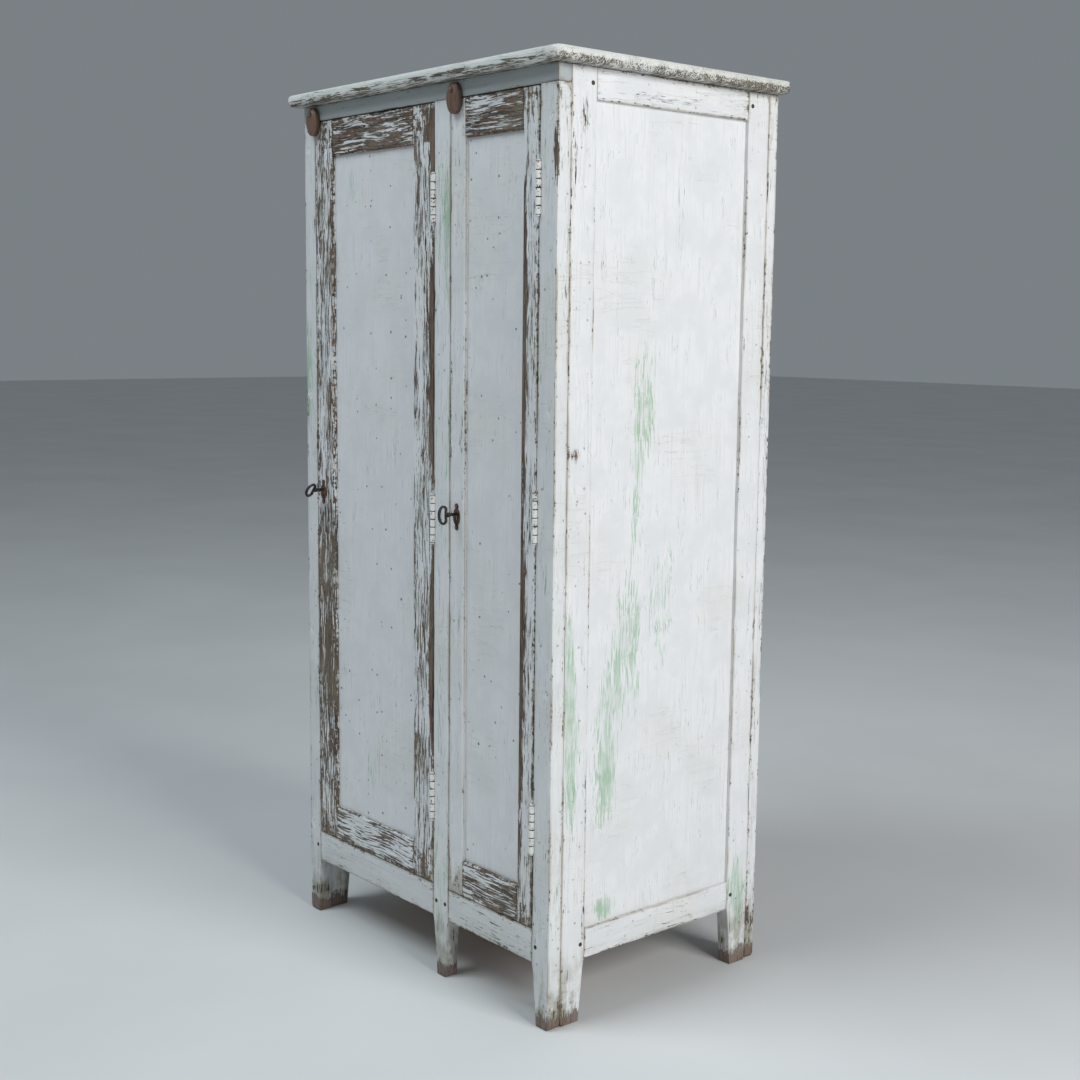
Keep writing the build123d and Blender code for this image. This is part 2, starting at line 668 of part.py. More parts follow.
for hand, side in hands:
    door_low, door_high = door_spans[hand]
    lock_stile_width, hinge_stile_width = door_stile_widths[hand]
    opening_xs = (door_low + lock_stile_width, door_high - hinge_stile_width)
    opening_zs = (door_bottom + door_bottom_rail_height, door_top - door_top_rail_height)
    door_ys = (front, door_back)
    rails = {"top_rail": (opening_zs[1], door_top), "bottom_rail": (door_bottom, opening_zs[0])}

    key_x = door_low + lock_backset
    key_z = lock_heights[hand]
    plate_z = key_z - escutcheon_drop
    case_xs = (door_low, door_low + case_width)
    case_ys = (door_back - case_let_in, door_back - case_let_in + case_depth)
    case_zs = (key_z - case_drop, key_z - case_drop + case_height)
    flange_zs = grown(case_zs, flange_height)
    case_screw_spots = []
    for height in (flange_zs[0] + flange_height / 2, flange_zs[1] - flange_height / 2):
        case_screw_spots.append((key_x, door_back + flange_thickness, height))
    escutcheon_pin_spots = []
    finial_reach = escutcheon_height / 2 - finial_radius
    for step in (-1, 1):
        escutcheon_pin_spots.append((key_x, front - escutcheon_thickness, plate_z + step * finial_reach))

    with BuildPart() as lock_stile:
        block((door_low, opening_xs[0]), door_ys, (door_bottom, door_top))
        bevel_upright(opening_xs[0], 1, opening_zs)
        cut((opening_xs[0] - groove_depth, opening_xs[0]), grown(door_tongue_y, joint_clearance),
            grown(opening_zs, groove_depth))
        for rail_low, rail_high in rails.values():
            cut((opening_xs[0] - tenon_length - end_clearance, opening_xs[0]),
                grown(door_tongue_y, joint_clearance),
                grown((rail_low + tenon_inset, rail_high - tenon_inset), joint_clearance))
        cut((case_xs[0], case_xs[1] + joint_clearance), (case_ys[0], door_back),
            grown(case_zs, joint_clearance))
        keyhole(key_x, key_z, (front, case_ys[0]), joint_clearance)
        for spot in case_screw_spots:
            screw_hole(spot, (0, -1, 0), hinge_screw_length)
        for spot in escutcheon_pin_spots:
            rod(spot, (0, 1, 0), screw_shank_radius / 2 + joint_clearance,
                escutcheon_pin_length + end_clearance, Mode.SUBTRACT)
    save(lock_stile.part, f"{hand}_door_lock_stile")

    with BuildPart() as hinge_stile:
        block((opening_xs[1], door_high), door_ys, (door_bottom, door_top))
        bevel_upright(opening_xs[1], -1, opening_zs)
        cut((opening_xs[1], opening_xs[1] + groove_depth), grown(door_tongue_y, joint_clearance),
            grown(opening_zs, groove_depth))
        for rail_low, rail_high in rails.values():
            cut((opening_xs[1], opening_xs[1] + tenon_length + end_clearance),
                grown(door_tongue_y, joint_clearance),
                grown((rail_low + tenon_inset, rail_high - tenon_inset), joint_clearance))
        hinge_recess(door_high, -1, hand)
        for spot in hinge_screw_spots(hand, door_high):
            screw_hole(spot, (-1, 0, 0), hinge_screw_length)
    save(hinge_stile.part, f"{hand}_door_hinge_stile")

    for rail_name, (rail_low, rail_high) in rails.items():
        with BuildPart() as door_rail:
            block(opening_xs, door_ys, (rail_low, rail_high))
            block(grown(opening_xs, tenon_length), door_tongue_y,
                  (rail_low + tenon_inset, rail_high - tenon_inset))
            groove_z = rail_high if rail_name == "bottom_rail" else rail_low
            groove_into = -1 if rail_name == "bottom_rail" else 1
            cut(opening_xs, grown(door_tongue_y, joint_clearance),
                (groove_z, groove_z + groove_into * groove_depth))
        save(door_rail.part, f"{hand}_door_{rail_name}")

    with BuildPart() as door_panel:
        block(grown(opening_xs, groove_depth - end_clearance), door_tongue_y,
              grown(opening_zs, groove_depth - end_clearance))
    save(door_panel.part, f"{hand}_door_panel")

    with BuildPart() as door_hinge_leaves:
        hinge_leaves(hand, -1)
    save(door_hinge_leaves.part, f"{hand}_door_hinge_leaves")

    with BuildPart() as door_screws:
        for spot in hinge_screw_spots(hand, door_high):
            screw(spot, (-1, 0, 0), hinge_screw_length)
        for spot in case_screw_spots:
            screw(spot, (0, -1, 0), hinge_screw_length)
        for spot in escutcheon_pin_spots:
            rod(spot, (0, 1, 0), screw_shank_radius / 2, escutcheon_pin_length)
            rod(spot, (0, -1, 0), screw_shank_radius, escutcheon_pin_head)
    save(door_screws.part, f"{hand}_door_screws")

    # ------------------------------------------------------------ lock, bolt and key
    bolt_zs = (key_z + bolt_above_key, key_z + bolt_above_key + bolt_height)
    with BuildPart() as lock_case:
        block(case_xs, case_ys, case_zs)
        block(case_xs, (door_back, door_back + flange_thickness), flange_zs)
        cut(grown(case_xs, -case_wall), grown(case_ys, -case_wall), grown(case_zs, -case_wall))
        cut((case_xs[0], case_xs[0] + case_wall), grown(bolt_ys, bolt_clearance),
            grown(bolt_zs, bolt_clearance))
        keyhole(key_x, key_z, (case_ys[0], case_ys[0] + case_wall))
        for spot in case_screw_spots:
            screw_hole(spot, (0, -1, 0), hinge_screw_length)
    save(lock_case.part, f"{hand}_lock_case")

    with BuildPart() as lock_bolt:
        block((case_xs[0] + bolt_clearance, case_xs[1] - case_wall - bolt_room_behind), bolt_ys, bolt_zs)
    save(lock_bolt.part, f"{hand}_lock_bolt")

    with BuildPart() as escutcheon:
        with BuildSketch(Plane.XZ.offset(-front)):
            with Locations((key_x, plate_z)):
                Ellipse(escutcheon_width / 2, escutcheon_height / 2 - waist_setback)
                Rectangle(escutcheon_width / 3, 2 * finial_reach)
            with Locations((key_x, plate_z + finial_reach), (key_x, plate_z - finial_reach)):
                Circle(finial_radius)
        extrude(amount=escutcheon_thickness)
        keyhole(key_x, key_z, (front - escutcheon_thickness, front))
        for spot in escutcheon_pin_spots:
            rod(spot, (0, 1, 0), screw_shank_radius / 2 + joint_clearance, escutcheon_thickness,
                Mode.SUBTRACT)
    save(escutcheon.part, f"{hand}_escutcheon")

    shank_tip = case_ys[1] - case_wall - tip_clearance
    bow_middle_y = front - key_reach + bow_length / 2
    with BuildPart() as key:
        with BuildSketch(Plane.YZ.offset(key_x)):
            with Locations((bow_middle_y, key_z)):
                Ellipse(bow_length / 2, bow_width / 2)
                Ellipse(bow_length / 2 - bow_bar, bow_width / 2 - bow_bar, mode=Mode.SUBTRACT)
        extrude(amount=bow_bar / 2, both=True)
        shank_start = bow_middle_y + bow_length / 2 - bow_bar / 2
        rod((key_x, shank_start, key_z), (0, 1, 0), shank_radius, shank_tip - shank_start)
        rod((key_x, shank_start + collar_setback, key_z), (0, 1, 0), shank_radius + collar_proud,
            collar_length)
        block((key_x - bit_thickness / 2, key_x + bit_thickness / 2),
              (case_ys[0] + case_wall + bit_clearance, shank_tip), (key_z - bit_reach, key_z))
    turned_key = key.part.rotate(Axis((key_x, front, key_z), (0, 1, 0)), key_rest_turn[hand])
    save(turned_key, f"{hand}_key")

    # ------------------------------------------------------------ turn button
    with BuildPart() as turn_button:
        with BuildSketch(Plane.XZ.offset(-front + button_gap)):
            with Locations((button_middles[hand], button_middle_z)):
                Ellipse(button_width / 2, button_height / 2)
        extrude(amount=button_thickness)
        chamfer(faces().sort_by(Axis.Y)[0].edges(), button_chamfer)
        rod((button_middles[hand], front, button_pivot_z), (0, -1, 0),
            screw_shank_radius + button_bore_clearance, button_gap + button_thickness, Mode.SUBTRACT)
    save(turn_button.part, f"{hand}_turn_button")
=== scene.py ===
"""Old painted pantry cabinet: worn boards, ironwork and a studio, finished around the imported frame.

Metres. +Z is up, -Y is the front, +X is to the right of somebody facing the doors.
"""
import json
import math

import bmesh
import bpy
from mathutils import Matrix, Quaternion, Vector


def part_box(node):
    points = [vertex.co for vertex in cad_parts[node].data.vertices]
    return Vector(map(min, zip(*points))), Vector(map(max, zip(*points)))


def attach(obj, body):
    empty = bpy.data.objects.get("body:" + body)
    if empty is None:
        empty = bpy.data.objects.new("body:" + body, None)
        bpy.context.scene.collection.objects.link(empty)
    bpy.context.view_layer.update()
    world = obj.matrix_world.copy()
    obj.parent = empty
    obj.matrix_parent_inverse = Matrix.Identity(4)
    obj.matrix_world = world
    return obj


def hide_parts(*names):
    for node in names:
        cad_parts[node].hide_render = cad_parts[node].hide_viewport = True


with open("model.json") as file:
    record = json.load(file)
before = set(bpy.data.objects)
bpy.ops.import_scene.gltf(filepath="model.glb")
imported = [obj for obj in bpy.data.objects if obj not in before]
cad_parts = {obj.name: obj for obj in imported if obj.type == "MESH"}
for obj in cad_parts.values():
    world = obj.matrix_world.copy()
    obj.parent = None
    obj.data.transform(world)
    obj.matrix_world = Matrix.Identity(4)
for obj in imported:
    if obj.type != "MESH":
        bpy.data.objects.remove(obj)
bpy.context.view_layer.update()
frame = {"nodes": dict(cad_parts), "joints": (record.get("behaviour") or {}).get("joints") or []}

bl_info = {
    "name": "Painted Pantry Cabinet",
    "version": (1, 0, 0),
    "blender": (4, 5, 0),
    "location": "3D View > Sidebar > Cabinet",
    "description": "Models and paints a worn two-door pantry cabinet",
    "category": "Object",
}

X, Y, Z = 0, 1, 2
MM = 0.001
HANDS = ("left", "right")

TENON = 20 * MM
RAIL_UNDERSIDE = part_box("left_bottom_rail")[0].z
FOOT_SHOULDER = 4 * MM
FOOT_SHOULDER_HEIGHT = 22 * MM
FOOT_TOE_HEIGHT = 8 * MM
ARRIS_REACH = 10 * MM
ARRIS_CORE = 3 * MM
HINGE_CLEARANCE = 0.4 * MM
HINGE_END_CLEARANCE = 3 * MM
BARREL_RADIUS = 5 * MM
KNUCKLES = 6
KNUCKLE = 15 * MM
LEAF_THICKNESS = 2 * MM
LEAF_SCREW_SPREAD = 31 * MM
DOOR_GAP = 2 * MM
SCREW_HEAD_RADIUS = 4.2 * MM
DISH_RADIUS = 8 * MM
DISH_DEPTH = 1.5 * MM
PANEL_CHAMFER = 3 * MM
MORTISE_REACH = 13.4 * MM
BOARD_LAP = 0.6 * MM
BACK_BOARDS = 5
FOOT_TAPER = 13 * MM
CENTRE_FOOT_TAPER = 9 * MM
LEFT_FOOT_TAPER = 5 * MM
TOP_CORNER_ROUND = 16 * MM
TOP_EDGE_ROUND = 9.5 * MM
TOP_STEP = 9 * MM
DOOR_STEP = 5 * MM
PANEL_STEP = 9 * MM
INSIDE_STEP = 14 * MM
ROW_GAP = 100 * MM
PIN_ROOM = 10 * MM
LEAF_DEPTH = 18 * MM
LEAF_EDGE = 0.3 * MM
NECK_START = 2.5 * MM
NECK_GAP = 0.6 * MM
KNUCKLE_EDGE = 0.5 * MM
KNUCKLE_REACH = 5.2 * MM
BOW_LENGTH = 23 * MM
BOW_BAR = 4 * MM
BOW_DENT = 3.2 * MM
BOW_DENT_REACH = 12 * MM
BOW_MIDDLE = 3.5 * MM
KEY_EDGE = 0.9 * MM
TOUCHING = 1e-5


# ---------------------------------------------------------------- settings a user would change
class CabinetPaint(bpy.types.PropertyGroup):
    """Colours of the coats of paint and of the wood below them."""

    white: bpy.props.FloatVectorProperty(
        name="Top coat", description="Colour of the white top coat",
        subtype="COLOR", size=3, default=(0.755, 0.757, 0.765), min=0, max=1)
    cream: bpy.props.FloatVectorProperty(
        name="Aged coat", description="Colour of the top coat where it has yellowed",
        subtype="COLOR", size=3, default=(0.67, 0.645, 0.575), min=0, max=1)
    green: bpy.props.FloatVectorProperty(
        name="Undercoat", description="Colour of the sage green undercoat",
        subtype="COLOR", size=3, default=(0.27, 0.45, 0.29), min=0, max=1)
    brown: bpy.props.FloatVectorProperty(
        name="Bare wood", description="Colour of the bare softwood",
        subtype="COLOR", size=3, default=(0.178, 0.100, 0.062), min=0, max=1)
    dark: bpy.props.FloatVectorProperty(
        name="Dark grain", description="Colour of the dark bands in the bare softwood",
        subtype="COLOR", size=3, default=(0.052, 0.032, 0.024), min=0, max=1)


class CabinetStage(bpy.types.PropertyGroup):
    """Camera and light."""

    lens: bpy.props.FloatProperty(
        name="Lens", description="Focal length of the camera",
        subtype="DISTANCE_CAMERA", default=51.91, min=10)
    place: bpy.props.FloatVectorProperty(
        name="Camera place", description="Where the camera stands",
        subtype="XYZ", unit="LENGTH", size=3, default=(2.408, -2.0025, 1.264))
    azimuth: bpy.props.FloatProperty(
        name="Azimuth", description="Turn of the camera round the cabinet",
        subtype="ANGLE", default=math.radians(49.5))
    tilt: bpy.props.FloatProperty(
        name="Tilt", description="How far the camera looks down",
        subtype="ANGLE", default=math.radians(7.82))
    roll: bpy.props.FloatProperty(
        name="Roll", description="Roll of the camera", subtype="ANGLE", default=math.radians(0.63))
    key_power: bpy.props.FloatProperty(
        name="Key light", description="Power of the large light at the right",
        subtype="POWER", default=300, min=0)
    fill_power: bpy.props.FloatProperty(
        name="Fill light", description="Power of the cool light in front",
        subtype="POWER", default=150, min=0)
    sky: bpy.props.FloatProperty(
        name="Surround", description="Strength of the even light all round", default=0.24, min=0)


# ---------------------------------------------------------------- shader maths
class Signal:
    """One output of a finish's nodes, on which maths is written as expressions."""

    def __init__(self, finish, socket):
        self.finish = finish
        self.socket = socket

    def math(self, operation, first, second=0.0):
        return self.finish.add("ShaderNodeMath", {"operation": operation}, {0: first, 1: second})

    def __add__(self, other):
        return self.math("ADD", self, other)

    __radd__ = __add__

    def __sub__(self, other):
        return self.math("SUBTRACT", self, other)

    def __rsub__(self, other):
        return self.math("SUBTRACT", other, self)

    def __mul__(self, other):
        return self.math("MULTIPLY", self, other)

    __rmul__ = __mul__

    def __abs__(self):
        return self.math("ABSOLUTE", self)

    def rise(self, low, high):
        """0 below low and 1 above high, with a soft step between them."""
        return self.finish.add("ShaderNodeMapRange", {"interpolation_type": "SMOOTHSTEP"},
                               {"Value": self, "From Min": low, "From Max": high})


class Finish:
    """A material made of nodes."""

    def __init__(self, name):
        self.material = bpy.data.materials.new(name)
        self.material.use_nodes = True
        self.tree = self.material.node_tree
        self.surface = self.tree.nodes["Principled BSDF"]
        self.place = self.add("ShaderNodeTexCoord", {}, {}, "Object")

    def add(self, kind, settings, sockets, output=0):
        """Add a node: its settings, then the values or links of its sockets."""
        node = self.tree.nodes.new(kind)
        for key, value in settings.items():
            setattr(node, key, value)
        for key, value in sockets.items():
            self.feed(node.inputs[key], value)
        return Signal(self, node.outputs[output])

    def feed(self, socket, value):
        if isinstance(value, Signal):
            self.tree.links.new(value.socket, socket)
        else:
            socket.default_value = value

    def stretched(self, vector, scale):
        return self.add("ShaderNodeVectorMath", {"operation": "MULTIPLY"}, {0: vector, 1: scale})

    def moved(self, vector, step):
        return self.add("ShaderNodeVectorMath", {"operation": "ADD"}, {0: vector, 1: step})

    def noise(self, vector, scale, detail=3.0, roughness=0.55, output="Fac"):
        return self.add("ShaderNodeTexNoise", {}, {
            "Vector": vector, "Scale": scale, "Detail": detail, "Roughness": roughness}, output)

    def swayed(self, vector, scale, amount):
        """Coordinates that wander, so that straight bands flow like grain."""
        wander = self.noise(vector, scale, 2.0, 0.5, "Color")
        centred = self.add("ShaderNodeVectorMath", {"operation": "SUBTRACT"},
                           {0: wander, 1: (0.5, 0.5, 0.5)})
        return self.moved(vector, self.stretched(centred, (amount, amount, amount)))

    def attribute(self, name):
        return self.add("ShaderNodeAttribute", {"attribute_name": name}, {}, "Fac")

    def mix(self, mask, low, high):
        """The colour low where the mask is 0 and high where it is 1."""
        return self.add("ShaderNodeMix", {"data_type": "RGBA"}, {
            0: mask, 6: colour(low), 7: colour(high)}, 2)

    def bump(self, height, distance):
        return self.add("ShaderNodeBump", {}, {"Height": height, "Strength": 1.0, "Distance": distance})

    def finish(self, base, roughness, relief=None, relief_depth=0.0, metallic=None):
        self.feed(self.surface.inputs["Base Color"], base)
        self.feed(self.surface.inputs["Roughness"], roughness)
        if relief is not None:
            self.feed(self.surface.inputs["Normal"], self.bump(relief, relief_depth))
        if metallic is not None:
            self.feed(self.surface.inputs["Metallic"], metallic)
        return self.material


def colour(value):
    """A colour with its opacity, or a link as it is."""
    return value if isinstance(value, Signal) else (*value[:3], 1.0)


def along(grain, lengthwise, crosswise=1.0):
    """A scale that draws a pattern out along the grain."""
    return tuple(lengthwise if axis == grain else crosswise for axis in (X, Y, Z))


# ---------------------------------------------------------------- finishes
GRAIN_NAMES = ("across", "deep", "upright")
WOOD_AGED = (0.22, 0.185, 0.135)
WOOD_SILVERED = (0.42, 0.41, 0.36)
WOOD_VEIN = (0.026, 0.019, 0.016)
PAINT_MOTTLE = (0.50, 0.54, 0.55)
BRUSH_MARK = (0.33, 0.40, 0.39)
# Blue-grey of painted shade, as under the top board's overhang, and of soil.
SOIL_AND_SHADE = (0.185, 0.225, 0.230)
DASH = (0.17, 0.21, 0.21)
CHIP_RIM = (0.31, 0.36, 0.26)
HAIRLINE = (0.30, 0.31, 0.29)
EDGE_GRIME = (0.29, 0.225, 0.15)
CRACK = (0.040, 0.034, 0.028)
SPECK = (0.060, 0.068, 0.066)
LOW_STAIN = (0.215, 0.205, 0.125)
TOE_DARK = (0.085, 0.052, 0.040)
TOE_LIGHT = (0.22, 0.15, 0.115)
TOP_WOOD = ((0.21, 0.165, 0.105), (0.070, 0.054, 0.036))
# Painted shade: the pegs are darkened to near black, their end grain standing also for the shade of the holes
# they sit in.
PEG_SHADE = 0.16
# Each metal's light and dark tone, its rust and how much of it has rusted.
METALS = {
    "rusty_iron": ((0.10, 0.075, 0.07), (0.030, 0.024, 0.024), (0.125, 0.052, 0.030), 0.62),
    "key_iron": ((0.10, 0.095, 0.10), (0.030, 0.028, 0.030), (0.09, 0.045, 0.03), 0.25),
    "lock_steel": ((0.34, 0.33, 0.31), (0.16, 0.15, 0.14), (0.20, 0.095, 0.05), 0.30),
    "screw_steel": ((0.40, 0.39, 0.37), (0.17, 0.16, 0.15), (0.17, 0.08, 0.045), 0.35),
}
finishes = {}


def bare_wood(finish, grain, brown, dark, length=1.0):
    """Colour and relief of bare softwood whose bands follow the grain."""
    flow = finish.swayed(finish.place, 6.0, 0.022)
    bands = finish.noise(finish.stretched(flow, along(grain, 0.045 * length)), 210.0, 5.0, 0.62)
    fibre = finish.noise(finish.stretched(finish.place, along(grain, 0.025 * length)), 800.0, 3.0)
    shade = finish.mix(bands.rise(0.42, 0.58), dark, brown)
    return finish.mix(fibre.rise(0.42, 0.62) * 0.55, shade, dark), fibre, bands


def painted(name, grain, paint, wood_colours=None, fleck=0.0, brush=1.0, crack=1.0, fineness=1.0, age=0.0):
    """White paint over a sage undercoat over softwood, worn off along the grain.

    fleck, brush and crack are how strongly specks, brush marks and cracks show, and age how far the
    white has yellowed.
    """
    finish = Finish(name)
    rub = finish.attribute("rub")
    arris = finish.attribute("arris")
    height = finish.add("ShaderNodeSeparateXYZ", {}, {0: finish.place}, Z)
    soil = finish.attribute("soil")
    low_down = 1 - height.rise(0.02, 0.17)

    flow = finish.swayed(finish.place, 7.0, 0.020)
    streak = finish.noise(finish.stretched(flow, along(grain, 0.055)), 300.0 * fineness, 5.0, 0.62)
    patch = finish.noise(finish.stretched(flow, along(grain, 0.12)), 52.0 * fineness, 4.0)
    fine = finish.noise(finish.stretched(flow, along(grain, 0.030)), 760.0, 3.0)
    nibble = finish.noise(finish.place, 120.0, 4.0, 0.6)
    cloud = finish.noise(finish.place, 5.0, 3.0)
    mottle = finish.noise(finish.place, 17.0, 4.0, 0.6)
    wear = finish.attribute("wear") + low_down * mottle.rise(0.45, 0.60) * 0.34

    pattern = streak * 0.52 + patch * 0.22 + fine * 0.20 + nibble * 0.06
    limit = 0.68 - wear * 0.36 - arris * nibble.rise(0.46, 0.62) * 0.10 - (cloud - 0.5) * 0.12
    above = pattern - limit
    bare = above.rise(0.0, 0.007)
    rim = above.rise(-0.020, -0.002)

    dry_brush = fine * 0.42 + streak * 0.38 + patch * 0.20
    ragged = (streak * 0.5 + mottle * 0.5).rise(0.40, 0.60)
    rubbed = (dry_brush - (0.64 - rub * 0.22)).rise(0.0, 0.030) * (ragged * 0.7 + 0.3)

    vein = finish.noise(finish.stretched(flow, along(grain, 0.05)), 120.0, 3.0)
    check = (1 - abs(vein - 0.5).rise(0.0, 0.010)) * wear.rise(0.08, 0.42) * patch.rise(0.42, 0.54) * crack

    brown, dark = wood_colours or (paint.brown, paint.dark)
    wood, fibre, bands = bare_wood(finish, grain, brown, dark)
    wood = finish.mix(cloud.rise(0.40, 0.64) * 0.40, wood, WOOD_AGED)
    wood = finish.mix(fine.rise(0.55, 0.62) * 0.24, wood, WOOD_SILVERED)
    wood = finish.mix((1 - abs(vein - 0.5).rise(0.0, 0.022)) * 0.85, wood, WOOD_VEIN)

    lines = finish.noise(finish.stretched(flow, along(grain, 0.02)), 230.0, 4.0)
    top = finish.mix(cloud.rise(0.46, 0.76) * 0.36 + arris * 0.22 + age, paint.white, paint.cream)
    top = finish.mix((1 - mottle.rise(0.36, 0.60)) * 0.24, top, PAINT_MOTTLE)
    brushed = (1 - lines.rise(0.32, 0.50)) * mottle.rise(0.38, 0.62) * (0.26 * brush)
    top = finish.mix(brushed, top, BRUSH_MARK)
    # Painted shade: the top coat is darkened to blue-grey where a board lies in shadow, as under the top
    # board's overhang, and where it is soiled.
    top = finish.mix(soil, top, SOIL_AND_SHADE)
    dash = (1 - abs(vein - 0.5).rise(0.0, 0.012)) * (mottle * 0.6 + patch * 0.4).rise(0.52, 0.58)
    top = finish.mix(dash * 0.50, top, DASH)
    top = finish.mix(rubbed * 0.80, top, paint.green)
    top = finish.mix(rim * 0.48, top, CHIP_RIM)

    across = finish.noise(finish.stretched(finish.place, along(grain, 1.0, 0.10)), 60.0, 2.0)
    hairline = (1 - abs(across - 0.5).rise(0.0, 0.004)) * cloud.rise(0.50, 0.58)
    top = finish.mix(hairline * 0.35, top, HAIRLINE)
    grime = arris.rise(0.66, 0.94) * (patch * 0.4 + cloud * 0.6).rise(0.44, 0.56)
    top = finish.mix(grime * 0.52, top, EDGE_GRIME)
    top = finish.mix(check * 0.88, top, CRACK)
    cell = finish.add("ShaderNodeTexVoronoi", {}, {"Vector": finish.place, "Scale": 60.0}, "Distance")
    choice = finish.add("ShaderNodeTexVoronoi", {}, {"Vector": finish.place, "Scale": 60.0}, "Color")
    chosen = finish.add("ShaderNodeSeparateColor", {}, {0: choice}, 0).rise(0.72, 0.78)
    speck = (1 - (cell + (nibble - 0.5) * 0.40).rise(0.080, 0.170)) * chosen * fleck
    top = finish.mix(speck * 0.80, top, SPECK)

    stain = low_down * (mottle * 0.6 + patch * 0.4).rise(0.42, 0.54)
    top = finish.mix(stain * 0.74, top, LOW_STAIN)
    base = finish.mix(bare, top, wood)
    toe = height + (mottle - 0.5) * 0.11 + (streak - 0.5) * 0.06 + (nibble - 0.5) * 0.03
    scuffed = 1 - toe.rise(0.016, 0.028)
    base = finish.mix(scuffed * 0.90, base, finish.mix(fibre.rise(0.4, 0.6), TOE_DARK, TOE_LIGHT))
    film = (1 - bare) * (1 - scuffed) * (1 - check)
    coat = film * 0.62 + lines * (0.05 * brush)
    relief = coat + bands * 0.20 + fibre * 0.10 - hairline * 0.12 - speck * 0.25
    return finish.finish(base, 0.86 - film * 0.34, relief, 0.0018)


def pine(name, grain, shade=1.0):
    """Bare, aged softwood of the inside, darker for the pegs: end grain with painted shade of their holes."""
    finish = Finish(name)
    light = [part * shade for part in (0.42, 0.27, 0.155)]
    dark = [part * shade for part in (0.22, 0.125, 0.065)]
    wood, fibre, bands = bare_wood(finish, grain, light, dark, 0.35)
    cloud = finish.noise(finish.place, 4.0, 4.0)
    wood = finish.mix(cloud.rise(0.45, 0.70) * 0.45, wood, [part * shade for part in (0.20, 0.15, 0.11)])
    knot = finish.add("ShaderNodeTexVoronoi", {}, {
        "Vector": finish.stretched(finish.place, along(grain, 0.45)), "Scale": 5.0}, "Distance")
    ring = 1 - (knot + (fibre - 0.5) * 0.02).rise(0.035, 0.075)
    wood = finish.mix(ring * 0.8, wood, (0.085, 0.042, 0.022))
    return finish.finish(wood, 0.70 + fibre * 0.15, bands * 0.5 + fibre * 0.3, 0.0004)


def iron(name, light, dark, rust, rust_share):
    """Old iron, smooth in places and rusted in others."""
    finish = Finish(name)
    pit = finish.noise(finish.place, 420.0, 5.0, 0.65)
    bloom = finish.noise(finish.place, 75.0, 4.0)
    metal = finish.mix(pit.rise(0.35, 0.65), dark, light)
    rusted = bloom.rise(0.62 - rust_share * 0.34, 0.72 - rust_share * 0.34)
    base = finish.mix(rusted, metal, rust)
    return finish.finish(base, 0.42 + rusted * 0.45, pit + bloom * 0.5, 0.0003, 0.9 - rusted * 0.85)


def oiled(name):
    """Dark oiled hardwood with paler rubbed edges."""
    finish = Finish(name)
    wood, fibre, bands = bare_wood(finish, Z, (0.115, 0.062, 0.042), (0.036, 0.020, 0.015))
    edge = finish.attribute("arris") * fibre.rise(0.25, 0.6)
    wood = finish.mix(edge * 0.8, wood, (0.30, 0.18, 0.125))
    return finish.finish(wood, 0.36 + fibre * 0.2, bands * 0.4 + fibre * 0.3, 0.0003)


def painted_iron(name, paint):
    """Ironwork painted over white, chipped to rust."""
    finish = Finish(name)
    pit = finish.noise(finish.place, 260.0, 5.0, 0.65)
    cloud = finish.noise(finish.place, 60.0, 3.0)
    bare = (pit * 0.6 + cloud * 0.4 + finish.attribute("arris") * 0.30).rise(0.570, 0.60)
    top = finish.mix(cloud.rise(0.4, 0.7) * 0.4, (0.82, 0.82, 0.79), paint.cream)
    base = finish.mix(bare, top, (0.09, 0.045, 0.028))
    return finish.finish(base, 0.42 + bare * 0.42, (1 - bare) * 0.7 + pit * 0.2, 0.0005)


def finish_for(kind, grain=Z):
    """The finish of that kind for that grain, made once."""
    name = f"{kind}_{GRAIN_NAMES[grain]}"
    if name not in finishes:
        paint = bpy.context.scene.cabinet_paint
        finishes[name] = {
            "chipped_paint": lambda: painted(name, grain, paint, fleck=0.6),
            "panel_paint": lambda: painted(name, grain, paint, fleck=1.0, brush=0.8, crack=0.0),
            "weathered_top": lambda: painted(name, grain, paint, TOP_WOOD, fleck=0.4, fineness=1.3, age=0.45),
            "bare_pine": lambda: pine(name, grain),
            "peg_wood": lambda: pine(name, grain, PEG_SHADE),
            "oiled_wood": lambda: oiled(name),
            "painted_hinge": lambda: painted_iron(name, paint),
        }.get(kind, lambda: iron(name, *METALS[kind]))()
    return finishes[name]


# ---------------------------------------------------------------- modelling helpers
def alone(obj):
    """Make obj the only selected object."""
    bpy.ops.object.select_all(action="DESELECT")
    obj.select_set(True)
    bpy.context.view_layer.objects.active = obj


def delete(obj):
    alone(obj)
    bpy.ops.object.delete()


def edit(obj):
    alone(obj)
    bpy.ops.object.mode_set(mode="EDIT")


def leave():
    bpy.ops.object.mode_set(mode="OBJECT")


def settle(obj):
    """Put the object's place, turn and size into its mesh."""
    alone(obj)
    bpy.ops.object.transform_apply(location=True, rotation=True, scale=True)
    return obj


def pick(obj, kind, test):
    """In edit mode, select the vertices, edges or faces that pass a test."""
    modes = {"verts": "VERT", "edges": "EDGE", "faces": "FACE"}
    bpy.ops.mesh.select_mode(type=modes[kind])
    bpy.ops.mesh.select_all(action="DESELECT")
    shape = bmesh.from_edit_mesh(obj.data)
    found = 0
    for item in getattr(shape, kind):
        if test(item):
            item.select_set(True)
            found += 1
    bmesh.update_edit_mesh(obj.data)
    return found


def slice_across(axis, place):
    """In edit mode, cut all faces by one plane."""
    normal = [0, 0, 0]
    normal[axis] = 1
    point = [0, 0, 0]
    point[axis] = place
    bpy.ops.mesh.select_all(action="SELECT")
    bpy.ops.mesh.bisect(plane_co=point, plane_no=normal)


